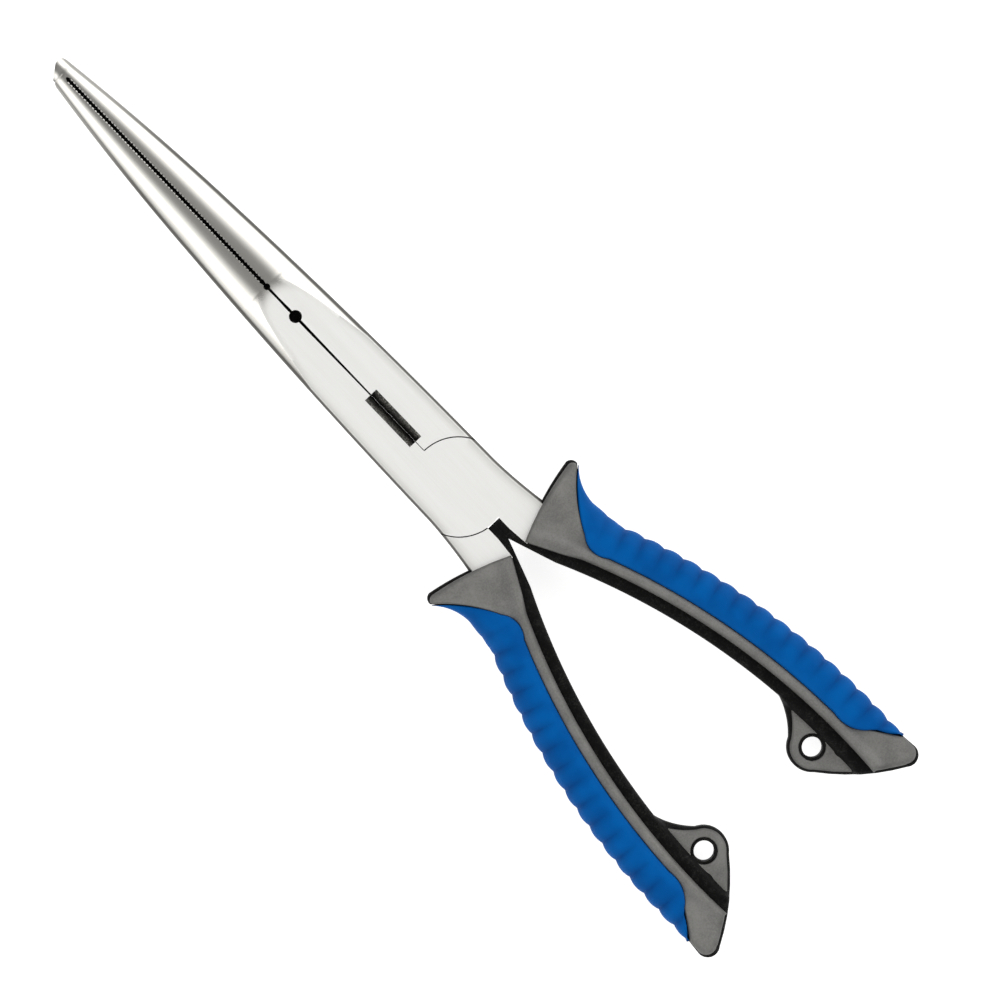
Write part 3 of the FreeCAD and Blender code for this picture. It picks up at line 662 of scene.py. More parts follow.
# %% Sort the faces
def sort_faces(thing):
    """Gives each face of a lever its finish, and keeps the borders between finishes crisp."""
    mesh = thing.data
    mesh.materials.clear()
    for material in (GROUND_STEEL, MACHINED_STEEL, SHADOW_BLACK_STEEL):
        mesh.materials.append(material)
    for face in mesh.polygons:
        x, y = abs(face.center.x - PIVOT.x) / MM, (face.center.y - PIVOT.y) / MM
        height = abs(face.center.z - PIVOT.z) / MM
        inner = CUTTER_DEPTH + 0.2 if y > JOINT_RADIUS else half_width(y) - 0.05
        inside = x < inner and y < PLAIN_END - 0.1
        if inside and abs(face.normal.z) < 0.2:
            face.material_index = 1
        # level faces low down, on the web and the lap, take the near-black steel: painted shadow
        elif inside and height < WEB_HALF + 0.1:
            face.material_index = 2
        else:
            face.material_index = 0
    mesh.shade_smooth()
    mesh.set_sharp_from_angle(angle=math.radians(32))
    work = bmesh.new()
    work.from_mesh(mesh)
    for edge in work.edges:
        finishes = {face.material_index for face in edge.link_faces}
        if len(finishes) > 1:
            edge.smooth = False
    work.to_mesh(mesh)
    work.free()


# %% Make the levers
RIVET_RADIUS, RIVET_HEAD, RIVET_SINK, RIVET_TOP = 3.5, 5.0, 1.5, 0.9
RIVET_FIT = 0.05


def make_lever(name, hand, end):
    """Blank, plan cut, relief, half-lap, rivet seat and finishes."""
    above = HEAD_HALF + BEYOND
    lever = loft(name + "_forging", [full_section(y) for y in STATIONS], [GROUND_STEEL])
    machine(lever, "INTERSECT", slab("plan", lever_plan(end), -above, above, hand))
    for low, high in ((WEB_HALF, above), (-above, -WEB_HALF)):
        machine(lever, "DIFFERENCE", slab("relief", relief_plan(), low, high, hand))
    lap_radius = JOINT_RADIUS + LAP_GAP
    lap = [(lap_radius, -HEAD_HALF - 2), (lap_radius, 0.04)]
    if hand > 0:
        lap = [(radius, -height) for radius, height in lap[::-1]]
    machine(lever, "DIFFERENCE", lathe("lap", lap, turns=160))
    if hand > 0:
        wide, narrow = RIVET_HEAD + 0.06, RIVET_RADIUS + RIVET_FIT
        seat = [(wide, -HEAD_HALF - 0.5), (wide, -HEAD_HALF + RIVET_FIT),
                (narrow, -HEAD_HALF + RIVET_SINK + RIVET_FIT), (narrow, RIVET_TOP + 0.1)]
        machine(lever, "DIFFERENCE", lathe("rivet_seat", seat))
    clean(lever, 1e-6)
    sort_faces(lever)
    tip = trace(end, 0.1)
    tip = tip[(tip[:, 1] > TIP_Y - 5) & (tip[:, 0] > -4) & (tip[:, 0] < 4)]
    # `rim` is painted shade for the rolled edges and the tip's outline
    paint(lever, "rim", lambda x, y: edge_shade_at(x * hand, y, tip))
    paint(lever, "polish", polish_at)
    return lever


plain_forging = make_lever("plain", -1, PLAIN_JAW_END)
tooth_forging = make_lever("tooth", 1, TOOTH_JAW_END)
for lever in (plain_forging, tooth_forging):
    print(lever.name, len(lever.data.polygons), "faces")

# %% [markdown]
# ## Serrations
# The gripping faces carry a row of cross-cut teeth. All are alike apart from their height, which
# follows the taper of the nose, so a Geometry Nodes tree sets one small tooth at every pitch and
# scales it. Modelling each one by hand would be slower and could not change pitch later.

# %% Geometry trees
def tree_named(name, numbers, material):
    """A geometry tree with one geometry input and named number inputs."""
    tree = bpy.data.node_groups.new(name, "GeometryNodeTree")
    tree.interface.new_socket("Geometry", in_out="INPUT", socket_type="NodeSocketGeometry")
    for label, value in numbers.items():
        kind = "NodeSocketInt" if isinstance(value, int) else "NodeSocketFloat"
        tree.interface.new_socket(label, in_out="INPUT", socket_type=kind)
    tree.interface.new_socket("Geometry", in_out="OUTPUT", socket_type="NodeSocketGeometry")
    graph = Graph(tree)
    source = tree.nodes.new("NodeGroupInput")
    given = {socket.name: Value(graph, socket) for socket in source.outputs if socket.name}

    def close(geometry):
        done = graph.node("GeometryNodeRealizeInstances", None, {"Geometry": geometry})
        done = graph.node("GeometryNodeSetMaterial", None, {"Geometry": done, "Material": material})
        graph.node("NodeGroupOutput", None, {0: done})

    return tree, graph, given, close


def run_tree(thing, tree, numbers):
    """Runs a tree on an object with these numbers, and keeps the plain mesh."""
    nodes = thing.modifiers.new("nodes", "NODES")
    nodes.node_group = tree
    for item in tree.interface.items_tree:
        if item.in_out == "INPUT" and item.name in numbers:
            nodes[item.identifier] = numbers[item.name]
    return baked(thing)


# %% The serration tree
def serration_tree(numbers):
    tree, graph, given, close = tree_named("serrations", numbers, MACHINED_STEEL)
    start = graph.node("ShaderNodeCombineXYZ", None, {0: PIVOT.x, 1: given["First"], 2: PIVOT.z})
    step = graph.node("ShaderNodeCombineXYZ", None, {1: given["Pitch"]})
    row = graph.node("GeometryNodeMeshLine", None,
                     {"Count": given["Count"], "Start Location": start, "Offset": step})
    number = graph.node("GeometryNodeInputIndex")
    height = given["Half height"] - number * given["Taper"]
    scale = graph.node("ShaderNodeCombineXYZ", None, {0: 1.0, 1: 1.0, 2: height})
    teeth = graph.node("GeometryNodeInstanceOnPoints", None,
                       {"Points": row, "Instance": given["Geometry"], "Scale": scale})
    close(teeth)
    return tree


# %% One tooth, and the rows
CREST, FLANK, TOOTH_SINK = 0.3, 0.42, 0.06
TOOTH_HEIGHTS = (1.0, 0.94, 0.8, 0.94, 1.0)


def one_tooth(name, hand):
    """A tooth of unit half height, about the middle of its root, in metres."""
    half = TOOTH_PITCH / 2
    plan = [(ROOT + 0.1, -half * 0.8), (FLANK, -half * 0.5), (CREST, 0), (FLANK, half * 0.5),
            (ROOT + 0.1, half * 0.8)]
    count = len(plan)
    points = [(x * hand * MM, y * MM, z * side)
              for side in (-1, 1) for (x, y), z in zip(plan, TOOTH_HEIGHTS)]
    faces = [tuple(range(count))[::-1], tuple(range(count, 2 * count))] + walls(count, 2)
    mesh = bpy.data.meshes.new(name)
    mesh.from_pydata(points, [], [face[::hand] for face in faces])
    mesh.materials.append(MACHINED_STEEL)
    return linked(name, mesh)


def serrations(name, hand):
    """A row of teeth along one jaw."""
    count = int((TEETH_HIGH - TEETH_LOW) / TOOTH_PITCH)
    low = face_height(ROOT, TEETH_LOW + TOOTH_PITCH / 2) - TOOTH_SINK
    high = face_height(ROOT, TEETH_HIGH - TOOTH_PITCH / 2) - TOOTH_SINK
    numbers = {"Count": count, "First": PIVOT.y + (TEETH_LOW + TOOTH_PITCH / 2) * MM,
               "Pitch": TOOTH_PITCH * MM, "Half height": low * MM,
               "Taper": (low - high) / (count - 1) * MM}
    row = run_tree(one_tooth(name, hand), serration_tree(numbers), numbers)
    print(name, count, "teeth", len(row.data.polygons), "faces")
    return row


plain_serrations = serrations("plain_serrations", -1)
tooth_serrations = serrations("tooth_serrations", 1)

# %% [markdown]
# ## Cutter blades and rivet
# The side cutter's two inserts are hard carbide, ground from both faces to an edge in the middle
# plane. The rivet is headed into a countersink and ground flush, so the front shows nothing of
# it and the back shows a fine ring. Short profiles, extruded and turned, are enough for both.

# %% Blades and rivet
SEAT_FIT, BLADE_LAND, BLADE_BELOW, BLADE_BEVEL = 0.02, 0.45, 0.12, 0.03


def cutter_blade(name, hand):
    """An insert with a bevel from each face down to the cutting edge."""
    back, land, face = CUTTER_DEPTH - SEAT_FIT, CUTTER_DEPTH - BLADE_LAND, HEAD_HALF - BLADE_BELOW
    section = [(back, -face), (back, face), (land, face), (WEB_GAP, 0.0), (land, -face)]
    ends = (CUTTER_LOW + SEAT_FIT, CUTTER_HIGH - SEAT_FIT)
    blade = loft(name, [[(x * hand, y, z) for x, z in section] for y in ends], [CUTTER_CARBIDE])
    bevel = blade.modifiers.new("ground_edges", "BEVEL")
    bevel.width = BLADE_BEVEL * MM
    bevel.segments = 2
    return baked(blade)


plain_insert = cutter_blade("plain_cutter_insert", -1)
tooth_insert = cutter_blade("tooth_cutter_insert", 1)
rivet = lathe("flush_rivet", [(RIVET_HEAD - 0.14, -HEAD_HALF), (RIVET_HEAD, -HEAD_HALF + 0.12),
                              (RIVET_RADIUS, -HEAD_HALF + RIVET_SINK), (RIVET_RADIUS, RIVET_TOP)])
rivet.data.materials.append(GROUND_STEEL)
print("blades and rivet:", plain_insert.name, tooth_insert.name, rivet.name)

# %% [markdown]
# ## Mouldings
# Shells, cores, covers and grips are plates with rolled edges and a gently modelled face. Such a
# face is a height over the plan, so one function meshes them all: it fills the outline with
# points, with extra rings where an edge rolls over, triangulates them, lifts them by the rule,
# and mirrors the face to the back. Each corner of an outline says how far in and how far down its
# edge rolls, and the values in between are blended.

# %% The handle's bend
BEND_X, BEND_Y = 171.5, 113.9
INNER, BAND, RIDGE, OUTER = 194.5, 197.7, 200.7, 209.7


def bend_radius(x, y):
    """Distance from the centre of the handle's bend."""
    return np.hypot(x + BEND_X, y + BEND_Y)


def on_bend(radius, y):
    """The half width at which a line of the handle's bend passes a station."""
    return math.sqrt(radius ** 2 - (y + BEND_Y) ** 2) - BEND_X


print(f"band {RIDGE - INNER:.1f} mm wide, grip {OUTER - RIDGE:.1f} mm wide")


# %% Rolled outlines
def rolled(corners, step=0.55):
    """Samples corners (x, y, across, down[, radius, turn]); the two middle values are the edge's roll."""
    rows = []
    for corner, following in zip(corners, corners[1:] + corners[:1]):
        points = side_points(corner, following, corner[4:], step)
        share = np.arange(len(points))[:, None] / len(points)
        roll = np.array(corner[2:4]) * (1 - share) + np.array(following[2:4]) * share
        rows.append(np.hstack([points, roll]))
    loop = np.concatenate(rows)
    x, y = loop[:, 0], loop[:, 1]
    area = np.sum(x * np.roll(y, -1) - y * np.roll(x, -1))
    return loop if area > 0 else loop[::-1]


def ring_of(centre_x, centre_y, radius, roll, count=40):
    """A round hole, drawn clockwise."""
    angles = -2 * math.pi * np.arange(count) / count
    across = np.full(count, roll)
    return np.stack([centre_x + radius * np.cos(angles), centre_y + radius * np.sin(angles),
                     across, across], axis=1)


# %% Near an outline, and inside it
def to_edges(points, loops):
    """Distance from each point to each piece of outline, and the roll there."""
    starts = np.concatenate(loops)
    ends = np.concatenate([np.roll(loop, -1, axis=0) for loop in loops])
    run = ends[:, :2] - starts[:, :2]
    offset = points[:, None, :] - starts[None, :, :2]
    share = np.clip(np.sum(offset * run, axis=2) / np.sum(run * run, axis=1), 0, 1)
    away = offset - share[:, :, None] * run
    roll = starts[:, 2:] + share[:, :, None] * (ends - starts)[:, 2:]
    return np.hypot(away[:, :, 0], away[:, :, 1]), roll


def inside(points, loops):
    """Whether each point is inside the outline and outside its holes."""
    odd = np.zeros(len(points), bool)
    for loop in loops:
        x0, y0 = loop[:, 0], loop[:, 1]
        x1, y1 = np.roll(x0, -1), np.roll(y0, -1)
        px, py = points[:, :1], points[:, 1:]
        spans = (y0 > py) != (y1 > py)
        with np.errstate(divide="ignore", invalid="ignore"):
            crossing = x0 + (py - y0) * (x1 - x0) / (y1 - y0)
        odd ^= np.sum(spans & (px < crossing), axis=1) % 2 == 1
    return odd


# %% Points to fill an outline
def polar_points(loop, spacing):
    """A staggered grid of points that follows the handle's bend."""
    radius = bend_radius(loop[:, 0], loop[:, 1])
    angle = np.arctan2(loop[:, 1] + BEND_Y, loop[:, 0] + BEND_X)
    turn = spacing / BAND
    found = []
    for row, r in enumerate(np.arange(radius.min() - spacing, radius.max() + spacing, spacing * 0.87)):
        angles = np.arange(angle.min() - turn, angle.max() + turn, turn) + turn / 2 * (row % 2)
        found.append(np.stack([r * np.cos(angles) - BEND_X, r * np.sin(angles) - BEND_Y], axis=1))
    return np.concatenate(found)


def fill_points(loops, spacing, rings):
    """Rings along the rolled edges, then the grid inside them."""
    found = []
    for loop in loops:
        run = np.roll(loop[:, :2], -1, axis=0) - np.roll(loop[:, :2], 1, axis=0)
        inward = np.stack([-run[:, 1], run[:, 0]], axis=1) / np.hypot(*run.T)[:, None]
        for angle in np.linspace(0, math.pi / 2, rings + 1)[1:]:
            step = loop[:, 2] * (1 - math.cos(angle))
            moved = loop[:, :2] + inward * step[:, None]
            near = to_edges(moved, loops)[0].min(axis=1)
            found.append(moved[(near > 0.9 * step) & inside(moved, loops)])
    grid = polar_points(loops[0], spacing)
    grid = grid[inside(grid, loops)]
    distance, roll = to_edges(grid, loops)
    clear = np.min(distance - roll[:, :, 0], axis=1) > spacing * 0.4
    return np.concatenate(found + [grid[clear]])


# %% The moulding function
def moulding(name, loops, height, materials, hand, spacing=0.8, rings=6):
    """A closed plate with rolled edges; height(x, y) is its half thickness."""
    border = np.concatenate(loops)[:, :2]
    plan = np.concatenate([border, fill_points(loops, spacing, rings)])
    edges, first = [], 0
    for loop in loops:
        edges += [(first + i, first + (i + 1) % len(loop)) for i in range(len(loop))]
        first += len(loop)
    flat, _, triangles, origin, _, _ = delaunay_2d_cdt(
        [Vector(point) for point in plan], edges, [], 0, 1e-5)
    flat = np.array([tuple(point) for point in flat])
    triangles = np.array(triangles)
    triangles = triangles[inside(flat[triangles].mean(axis=1), loops)]
    distance, roll = to_edges(flat, loops)
    curve = np.clip(1 - distance / roll[:, :, 0], 0, 1)
    drop = np.max(roll[:, :, 1] * (1 - np.sqrt(1 - curve ** 2)), axis=1)
    top = height(flat[:, 0], flat[:, 1]) - drop
    count = len(flat)
    points = [(x, y, z * side) for side in (1, -1) for (x, y), z in zip(flat, top)]
    faces = [tuple(t) for t in triangles.tolist()]
    faces += [(c + count, b + count, a + count) for a, b, c in triangles.tolist()]
    where = {old: new for new, olds in enumerate(origin) for old in olds}
    for a, b in edges:
        a, b = where[a], where[b]
        faces.append((a, a + count, b + count, b))
    thing = make_object(name, points, faces, materials, hand)
    # `edge` is kept for painted shade on the rolled edges: 1 on the border, 0 where the roll ends
    edge = thing.data.attributes.new("edge", "FLOAT", "POINT")
    edge.data.foreach_set("value", np.tile(curve.max(axis=1), 2))
    clean(thing)
    thing.data.shade_smooth()
    thing.data.set_sharp_from_angle(angle=math.radians(50))
    print(f"{name}: {len(thing.data.vertices)} points, {len(thing.data.polygons)} faces")
    return thing


# %% [markdown]
# ## Handle outlines
# Inner edge, band, ridge, grip edge and outside are all arcs about one centre, so the handle is
# drawn from five radii and its two ends: the guard at the neck, and the lug and tail. The dark
# core is moulded first and a little larger than the grey shell, and its edge shows all round.
# Each corner ends with the roll of its edge; SEAM and the other short pairs are such rolls.

# %% Sizes of the handle's ends
LEAN, LIFT = 0.643, 0.766
LUG_RADIUS, LUG_HOLLOW = 6.45, 22.0
LUG_TURN_X, LUG_TURN_Y = 0.407, 0.914
LUG_TOP = HOLE_Y + 15.0
TAIL_ROUND, TAIL_X, TAIL_BOW = 3.09, 35.0, 1.24
TAIL_MID = TAIL_Y + TAIL_ROUND
SWELL_Y = -35.0
GUARD_HOLLOW, GUARD_FRONT, GUARD_CORNER = 38.7, 79.0, (25.9, -17.0)
GRIP_END, GRIP_TIP = TAIL_Y + 19.0, TAIL_Y + 6.9
GRIP_ROUND, GRIP_TAIL_ROUND = 6.5, 9.5
GRIP_ROUND_LENGTH, GRIP_TAIL_SHARE = 4.5, 0.4
CORE_UNDER_GRIP, CORE_RIM, SHELL_INSET, COVER_INSET = 204, 1.1, 0.75, 0.7
EYELET_RADIUS = HOLE_RADIUS + 0.75
SEAM = (0.3, 0.3)
CLOSED = (0.05, 0.05)
print(f"lug {LUG_RADIUS * 2:.1f} mm across, tail rounded by {TAIL_ROUND:.2f} mm")


# %% Ends that the pieces share
def lug_end(radius=LUG_RADIUS):
    """Where the lug's rounding runs into the lower edge."""
    return HOLE_X - radius * LEAN, HOLE_Y - radius * LIFT


def lug_start(radius=LUG_RADIUS):
    """Where the hollow above the lug runs into its rounding."""
    return HOLE_X - radius * LUG_TURN_X, HOLE_Y + radius * LUG_TURN_Y


def tail_start(radius=TAIL_ROUND):
    """Where the lower edge runs into the tail's rounding."""
    return TAIL_X - radius * LEAN, TAIL_MID - radius * LIFT


def lower_edge(share, inset=0.0):
    """A point of the bowed edge from the lug down to the tail."""
    start, end = lug_end(), tail_start()
    bow = TAIL_BOW * 4 * share * (1 - share) - inset
    return (start[0] + (end[0] - start[0]) * share - bow * LEAN,
            start[1] + (end[1] - start[1]) * share - bow * LIFT)


def bend_point(radius, y):
    """A corner on one of the handle's arcs."""
    return on_bend(radius, y), y


def grip_corners():
    """Where the grip's two inner corners are rounded: guard start and end, tail start and end."""
    hollow = arc(GUARD_CORNER, bend_point(RIDGE, SWELL_Y), GUARD_HOLLOW, 1, 0.5)
    tail, outside = np.array(bend_point(RIDGE, GRIP_END)), np.array(bend_point(OUTER, GRIP_TIP))
    return [tuple(hollow[-9]), bend_point(RIDGE, SWELL_Y - GRIP_ROUND_LENGTH),
            bend_point(RIDGE, GRIP_END + GRIP_ROUND_LENGTH),
            tuple(tail + (outside - tail) * GRIP_TAIL_SHARE)]


print("grip corners:", [[round(float(value), 1) for value in corner] for corner in grip_corners()])


# %% The core
LUG_DROP, EYELET_RISE = 0.55, 0.7


def core_outline():
    """Crotch pad, inner edge, lug and tail, then back under the grip to the guard."""
    rim = (1.0, 1.0)
    under = CORE_UNDER_GRIP
    lower = [lower_edge(share) + rim for share in np.linspace(0, 1, 7)[:-1]]
    return [(WEB_GAP, -12.75) + CLOSED, (WEB_GAP, -18.2) + CLOSED,
            bend_point(INNER, -31) + (1.1, 1.3, INNER, -1),
            bend_point(INNER, LUG_TOP) + rim + (LUG_HOLLOW, -1),
            lug_start() + rim + (LUG_RADIUS, 1)] + lower + [
            tail_start() + rim + (TAIL_ROUND, 1), (TAIL_X + TAIL_ROUND, TAIL_MID) + rim,
            (TAIL_X + 2.6, TAIL_Y + 8.2) + SEAM, (TAIL_X - 0.6, TAIL_Y + 14) + SEAM,
            bend_point(under, -100) + SEAM + (under, 1), bend_point(under, -33) + SEAM,
            (24.6, -18.0) + SEAM, (25.95, -16.4) + rim + (2.0, 1),
            (24.3, -14.2) + rim + (GUARD_FRONT, 1), (2.6, -21.3) + SEAM,
            (CROTCH_HALF, CROTCH_Y) + SEAM, (CROTCH_HALF, -12.75) + SEAM]


def core_height(x, y):
    """Full height along the band, lower on the lug, and a raised ring round the lanyard hole."""
    lug = step_up(bend_radius(x, y), INNER - CORE_RIM, INNER + 0.3)
    ring = 1 - step_up(np.hypot(x - HOLE_X, y - HOLE_Y), EYELET_RADIUS - 0.05, EYELET_RADIUS + 0.1)
    low = COVER_HALF - LUG_DROP + EYELET_RISE * ring
    return low + (CORE_HALF - low) * lug


print("core corners:", len(core_outline()))


# %% The shell
RIDGE_TOP, RIDGE_SPREAD = BAND + 1.4, 1.5
SHELL_RISE, PANEL_SHARE = 1.1, 0.55


def shell_outline():
    """Guard, ridge and tail; its free edges stay inside the core's rim."""
    band = (0.9, 0.9)
    guard_start, guard_end, grip_start, grip_end = grip_corners()
    lower = [lower_edge(share, SHELL_INSET) + (1.6, 1.6) for share in np.linspace(0.66, 1, 5)]
    inner = TAIL_ROUND - 0.3
    turn_x, turn_y = tail_start(inner)
    return [(24.0, -15.1, 1.6, 1.8, GUARD_FRONT, 1), (2.5, -21.7, 0.6, 0.6), (3.0, -22.9, 0.4, 0.4),
            (7.3, -31.0) + SEAM, bend_point(BAND, SWELL_Y) + band + (BAND, -1),
            bend_point(BAND, lower[0][1]) + band] + lower + [
            (turn_x + 0.3, turn_y + 0.4, 1.8, 2.2, inner, 1), (TAIL_X + inner, TAIL_MID, 1.8, 2.4),
            (on_bend(OUTER, GRIP_TIP) - 0.3, GRIP_TIP, 1.2, 1.4),
            grip_end + SEAM + (GRIP_TAIL_ROUND, -1), grip_start + SEAM + (RIDGE, 1),
            guard_end + SEAM + (GRIP_ROUND, -1), guard_start + SEAM + (GUARD_HOLLOW, -1),
            (25.3, -17.0, 0.6, 0.6), (25.6, -16.2, 1.2, 1.4, 1.6, 1)]


def shell_height(x, y):
    """A rounded ridge beside the band, and a flatter panel beyond it."""
    r = bend_radius(x, y)
    ridge = np.exp(-((r - RIDGE_TOP) / RIDGE_SPREAD) ** 2)
    panel = step_up(r, RIDGE - 0.5, RIDGE + 5)
    return SHELL_HALF - SHELL_RISE + SHELL_RISE * np.maximum(ridge, panel * PANEL_SHARE)


print("shell corners:", len(shell_outline()))


# %% The grip
GUARD_DROP, CROWN_DROP, SHOULDER_DROP = 1.2, 0.5, 0.35


def grip_outline():
    """The pad outside the ridge, from the guard's corner to the tail."""
    guard_start, guard_end, grip_start, grip_end = grip_corners()
    edge = (0.6, 0.6)
    return [GUARD_CORNER + (0.5, 0.5, GUARD_HOLLOW, 1), guard_start + edge + (GRIP_ROUND, 1),
            guard_end + edge + (RIDGE, -1), grip_start + edge + (GRIP_TAIL_ROUND, 1),
            grip_end + edge, bend_point(OUTER, GRIP_TIP) + (1.6, 2.0, OUTER, 1),
            bend_point(OUTER, GRIP_TIP + 5) + (3.0, 4.0, OUTER, 1),
            bend_point(OUTER, SWELL_Y) + (4.2, 5.0), (21.8, -26.5, 3.0, 4.0, 14.0, -1)]


def grip_height(x, y):
    """Crowned across the grip, and lower where it thins out along the guard."""
    r = bend_radius(x, y)
    guard = GUARD_DROP * (1 - step_up(-y, 17, 34))
    crown = CROWN_DROP * step_up(r, RIDGE + 3, OUTER)
    return GRIP_HALF - guard - crown - SHOULDER_DROP * (1 - step_up(r, RIDGE, RIDGE + 2.5))


print("grip corners:", len(grip_outline()))


# %% The cover
HOLLOW_X, HOLLOW_Y, HOLLOW_DROP = 21.0, HOLE_Y - 5.6, 0.5


def cover_outline():
    """The lug inside the core's rim."""
    radius = LUG_RADIUS - COVER_INSET
    edge, end = (0.7, 0.7), (0.5, 0.5)
    side = INNER + 0.1
    low = lower_edge(0.42, COVER_INSET)
    return [bend_point(side, LUG_TOP - 3.2) + end + (LUG_HOLLOW, -1),
            lug_start(radius) + edge + (radius, 1), lug_end(radius) + edge,
            lower_edge(0.2, COVER_INSET) + edge, low + end,
            bend_point(side, low[1] + 1.5) + SEAM + (side, 1)]


def cover_height(x, y):
    """Level, with a shallow hollow between the ring and the band's foot."""
    hollow = np.exp(-(((x - HOLLOW_X) / 1.5) ** 2 + ((y - HOLLOW_Y) / 2.2) ** 2))
    return COVER_HALF - HOLLOW_DROP * hollow


print("cover corners:", len(cover_outline()))

# %% [markdown]
# ## Ribs
# The ribs turn about the same centre as the handle, so a Geometry Nodes tree presses them in by
# rule: the angle of each point about that centre sets its phase between two grooves, and the
# point sinks along its normal by the groove's depth. The same number is stored for painted shade
# in the grooves. A row of separate rib objects would leave seams where each meets the pad.

# %% The rib tree
def rib_tree(numbers):
    tree, graph, given, close = tree_named("pressed_ribs", numbers, GRIP_RUBBER)
    place = graph.node("GeometryNodeInputPosition")
    x = graph.node("ShaderNodeSeparateXYZ", None, [place], output=0)
    y = graph.node("ShaderNodeSeparateXYZ", None, [place], output=1)
    across = x * given["Side"] + given["Centre x"]
    along = y - given["Centre y"]
    angle = along.math("ARCTAN2", across)
    phase = (angle - given["First crest"]) / given["Rib angle"]
    wave = (phase * math.pi).math("COSINE").math("ABSOLUTE").math("POWER", given["Sharpness"])
    radius = (across * across + along * along).math("SQRT")
    fade = ((radius - given["Fade start"]) / given["Fade length"]).math("MAXIMUM", 0.0)
    fade = fade.math("MINIMUM", 1.0)
    below = ((given["First crest"] - angle) / given["Rib angle"] + 0.9).math("MAXIMUM", 0.0)
    groove = (1 - wave) * fade * below.math("MINIMUM", 1.0)
    # `groove` also gives the painted shade in the rubber's colour
    marked = graph.node("GeometryNodeStoreNamedAttribute", {"data_type": "FLOAT", "domain": "POINT"},
                        {"Geometry": given["Geometry"], "Name": "groove", "Value": groove})
    normal = graph.node("GeometryNodeInputNormal")
    sunk = graph.node("ShaderNodeVectorMath", {"operation": "SCALE"},
                      {0: normal, "Scale": groove * given["Depth"] * -1.0})
    close(graph.node("GeometryNodeSetPosition", None, {"Geometry": marked, "Offset": sunk}))
    return tree


# %% The ribbed grip
RIBS, FIRST_CREST_Y, LAST_CREST_Y, CREST_RADIUS = 16, -34.6, -121.0, OUTER - 0.5
RIB_DEPTH, RIB_SHARPNESS, RIB_FADE = 0.6, 0.75, 6.0


def ribbed_grip(name, hand):
    """The pad with its ribs pressed in."""
    pad = moulding(name, [rolled(grip_outline(), 0.4)], grip_height, [GRIP_RUBBER], hand,
                   spacing=0.55, rings=10)
    crest = math.asin((BEND_Y + FIRST_CREST_Y) / CREST_RADIUS)
    last = math.asin((BEND_Y + LAST_CREST_Y) / CREST_RADIUS)
    numbers = {"Side": float(hand), "Centre x": BEND_X * MM - PIVOT.x * hand,
               "Centre y": PIVOT.y - BEND_Y * MM, "First crest": crest,
               "Rib angle": (crest - last) / RIBS, "Sharpness": RIB_SHARPNESS,
               "Depth": RIB_DEPTH * MM, "Fade start": (RIDGE + 1.0) * MM,
               "Fade length": RIB_FADE * MM}
    return run_tree(pad, rib_tree(numbers), numbers)


# %% Make the handles
handles = {}
for side, hand in (("right", 1), ("left", -1)):
    hole = ring_of(HOLE_X, HOLE_Y, HOLE_RADIUS, 0.3)
    room = ring_of(HOLE_X, HOLE_Y, EYELET_RADIUS + 0.04, 0.3)
    handles[side] = {
        "handle_core": moulding(side + "_core_moulding", [rolled(core_outline()), hole],
                                core_height, [CORE_PLASTIC], hand),
        "handle_shell": moulding(side + "_shell_moulding", [rolled(shell_outline())],
                                 shell_height, [SHELL_PLASTIC], hand, spacing=0.6),
        "lanyard_cover": moulding(side + "_cover_moulding", [rolled(cover_outline()), room],
                                  cover_height, [SHELL_PLASTIC], hand, spacing=0.6),
        "grip": ribbed_grip(side + "_ribbed_grip", hand)}
print("pieces of each handle:", list(handles["right"]))

# %% [markdown]
# ## Assembly
# Every piece rides on the body of the node that it stands for, and hides the nodes it replaces.

# %% Ride and replace
def stand_for(piece, body, slot, *nodes):
    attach(piece, body)
    if nodes:
        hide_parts(*nodes)


METAL_PIECES = [(plain_forging, "plain_half", "forged_steel", "plain_lever"),
                (tooth_forging, "tooth_half", "forged_steel", "tooth_lever"),
                (plain_serrations, "plain_half", "forged_steel"),
                (tooth_serrations, "tooth_half", "forged_steel"),
                (rivet, "plain_half", "rivet_steel", "pivot_rivet"),
                (plain_insert, "plain_half", "cutter_carbide", "plain_cutter_blade"),
                (tooth_insert, "tooth_half", "cutter_carbide", "tooth_cutter_blade")]
for entry in METAL_PIECES:
    stand_for(*entry)
SLOTS = {"handle_core": "core_plastic", "handle_shell": "shell_plastic",
         "lanyard_cover": "shell_plastic", "grip": "grip_rubber"}
for side, body in (("right", "plain_half"), ("left", "tooth_half")):
    for part, slot in SLOTS.items():
        stand_for(handles[side][part], body, slot, f"{side}_{part}")
print("pieces set in place:", len(METAL_PIECES) + len(SLOTS) * len(handles))

# %% [markdown]
# ## Studio
# Polished steel shows what is round it, so the light is a soft white tent with one dark strip
# overhead, along the jaws, a duller horizon and a duller side: the strip draws the dark band down
# the middle of the nose, the horizon draws its edges, and the side sets one handle apart from the
# other. The floor is plain and pale.

# %% Light
STRIP, HORIZON, DULL_SIDE = (0.25, 0.68), (-0.05, 0.45), (-1.0, -0.55)
TENT_WHITE, TENT_STRENGTH = (1.0, 1.0, 0.985, 1), 2.0


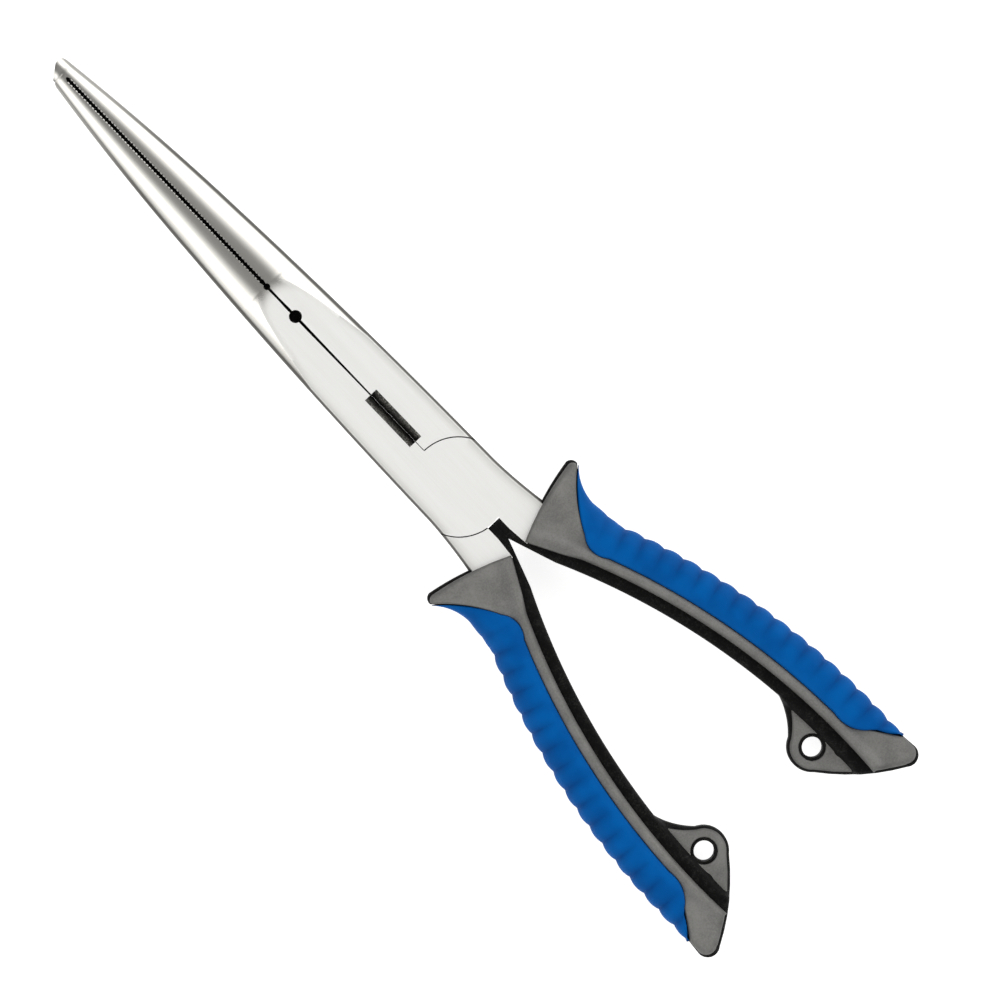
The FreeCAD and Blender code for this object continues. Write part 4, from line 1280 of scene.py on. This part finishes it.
def studio_light():
    """A soft tent with a dark strip overhead."""
    world = bpy.data.worlds.new("tent")
    bpy.context.scene.world = world
    world.use_nodes = True
    graph = Graph(world.node_tree)
    direction = graph.node("ShaderNodeTexCoord", output="Generated")
    across = graph.node("ShaderNodeSeparateXYZ", None, [direction], output=0)
    up = graph.node("ShaderNodeSeparateXYZ", None, [direction], output=2)
    strip = across.math("ABSOLUTE").smooth(*STRIP)
    horizon = up.smooth(*HORIZON)
    side = across.smooth(*DULL_SIDE)
    level = (0.12 + strip * 0.88) * (0.5 + horizon * 0.5) * (0.4 + side * 0.6)
    light = graph.node("ShaderNodeBackground", None,
                       {"Color": TENT_WHITE, "Strength": level * TENT_STRENGTH})
    graph.node("ShaderNodeOutputWorld", None, {"Surface": light})


studio_light()
print("dark strip overhead up to", STRIP[0], "across, white from", STRIP[1])

# %% Floor
FLOOR_HALF = 3.0
FLOOR_GREY, FLOOR_GLOW = (0.6, 0.6, 0.6, 1), 0.85


def sheet(graph):
    """An even finish: nothing in the tree changes over the floor."""
    return {"Base Color": FLOOR_GREY, "Roughness": 0.9}


def pale_floor():
    """A wide pale sheet under the pliers, lit from below like a light table."""
    half = FLOOR_HALF
    mesh = bpy.data.meshes.new("floor")
    mesh.from_pydata([(-half, -half, 0), (half, -half, 0), (half, half, 0), (-half, half, 0)], [],
                     [(0, 1, 2, 3)])
    glow = {"Specular IOR Level": 0.1, "Emission Color": (1, 1, 1, 1), "Emission Strength": FLOOR_GLOW}
    mesh.materials.append(finish_named("lit_sheet", glow, sheet))
    linked("floor", mesh)


pale_floor()
print("floor:", FLOOR_HALF * 2, "m square")

# %% Camera
VIEW_X, VIEW_Y, VIEW_WIDTH, VIEW_TURN = 5.25, -18.72, 254.9, -43.8
VIEW_DISTANCE = 1.6


def straight_down():
    """A long lens straight above the pliers; the turn is the angle of the picture's top from +Y."""
    lens = bpy.data.cameras.new("camera")
    lens.lens = lens.sensor_width * VIEW_DISTANCE / (VIEW_WIDTH * MM)
    lens.clip_end = 20
    camera = linked("camera", lens)
    camera.location = (VIEW_X * MM, VIEW_Y * MM, PIVOT.z + VIEW_DISTANCE)
    camera.rotation_euler = (0, 0, math.radians(VIEW_TURN))
    bpy.context.scene.camera = camera
    return camera


print("lens:", round(straight_down().data.lens, 1), "mm")
bpy.context.scene.view_settings.view_transform = "Standard"
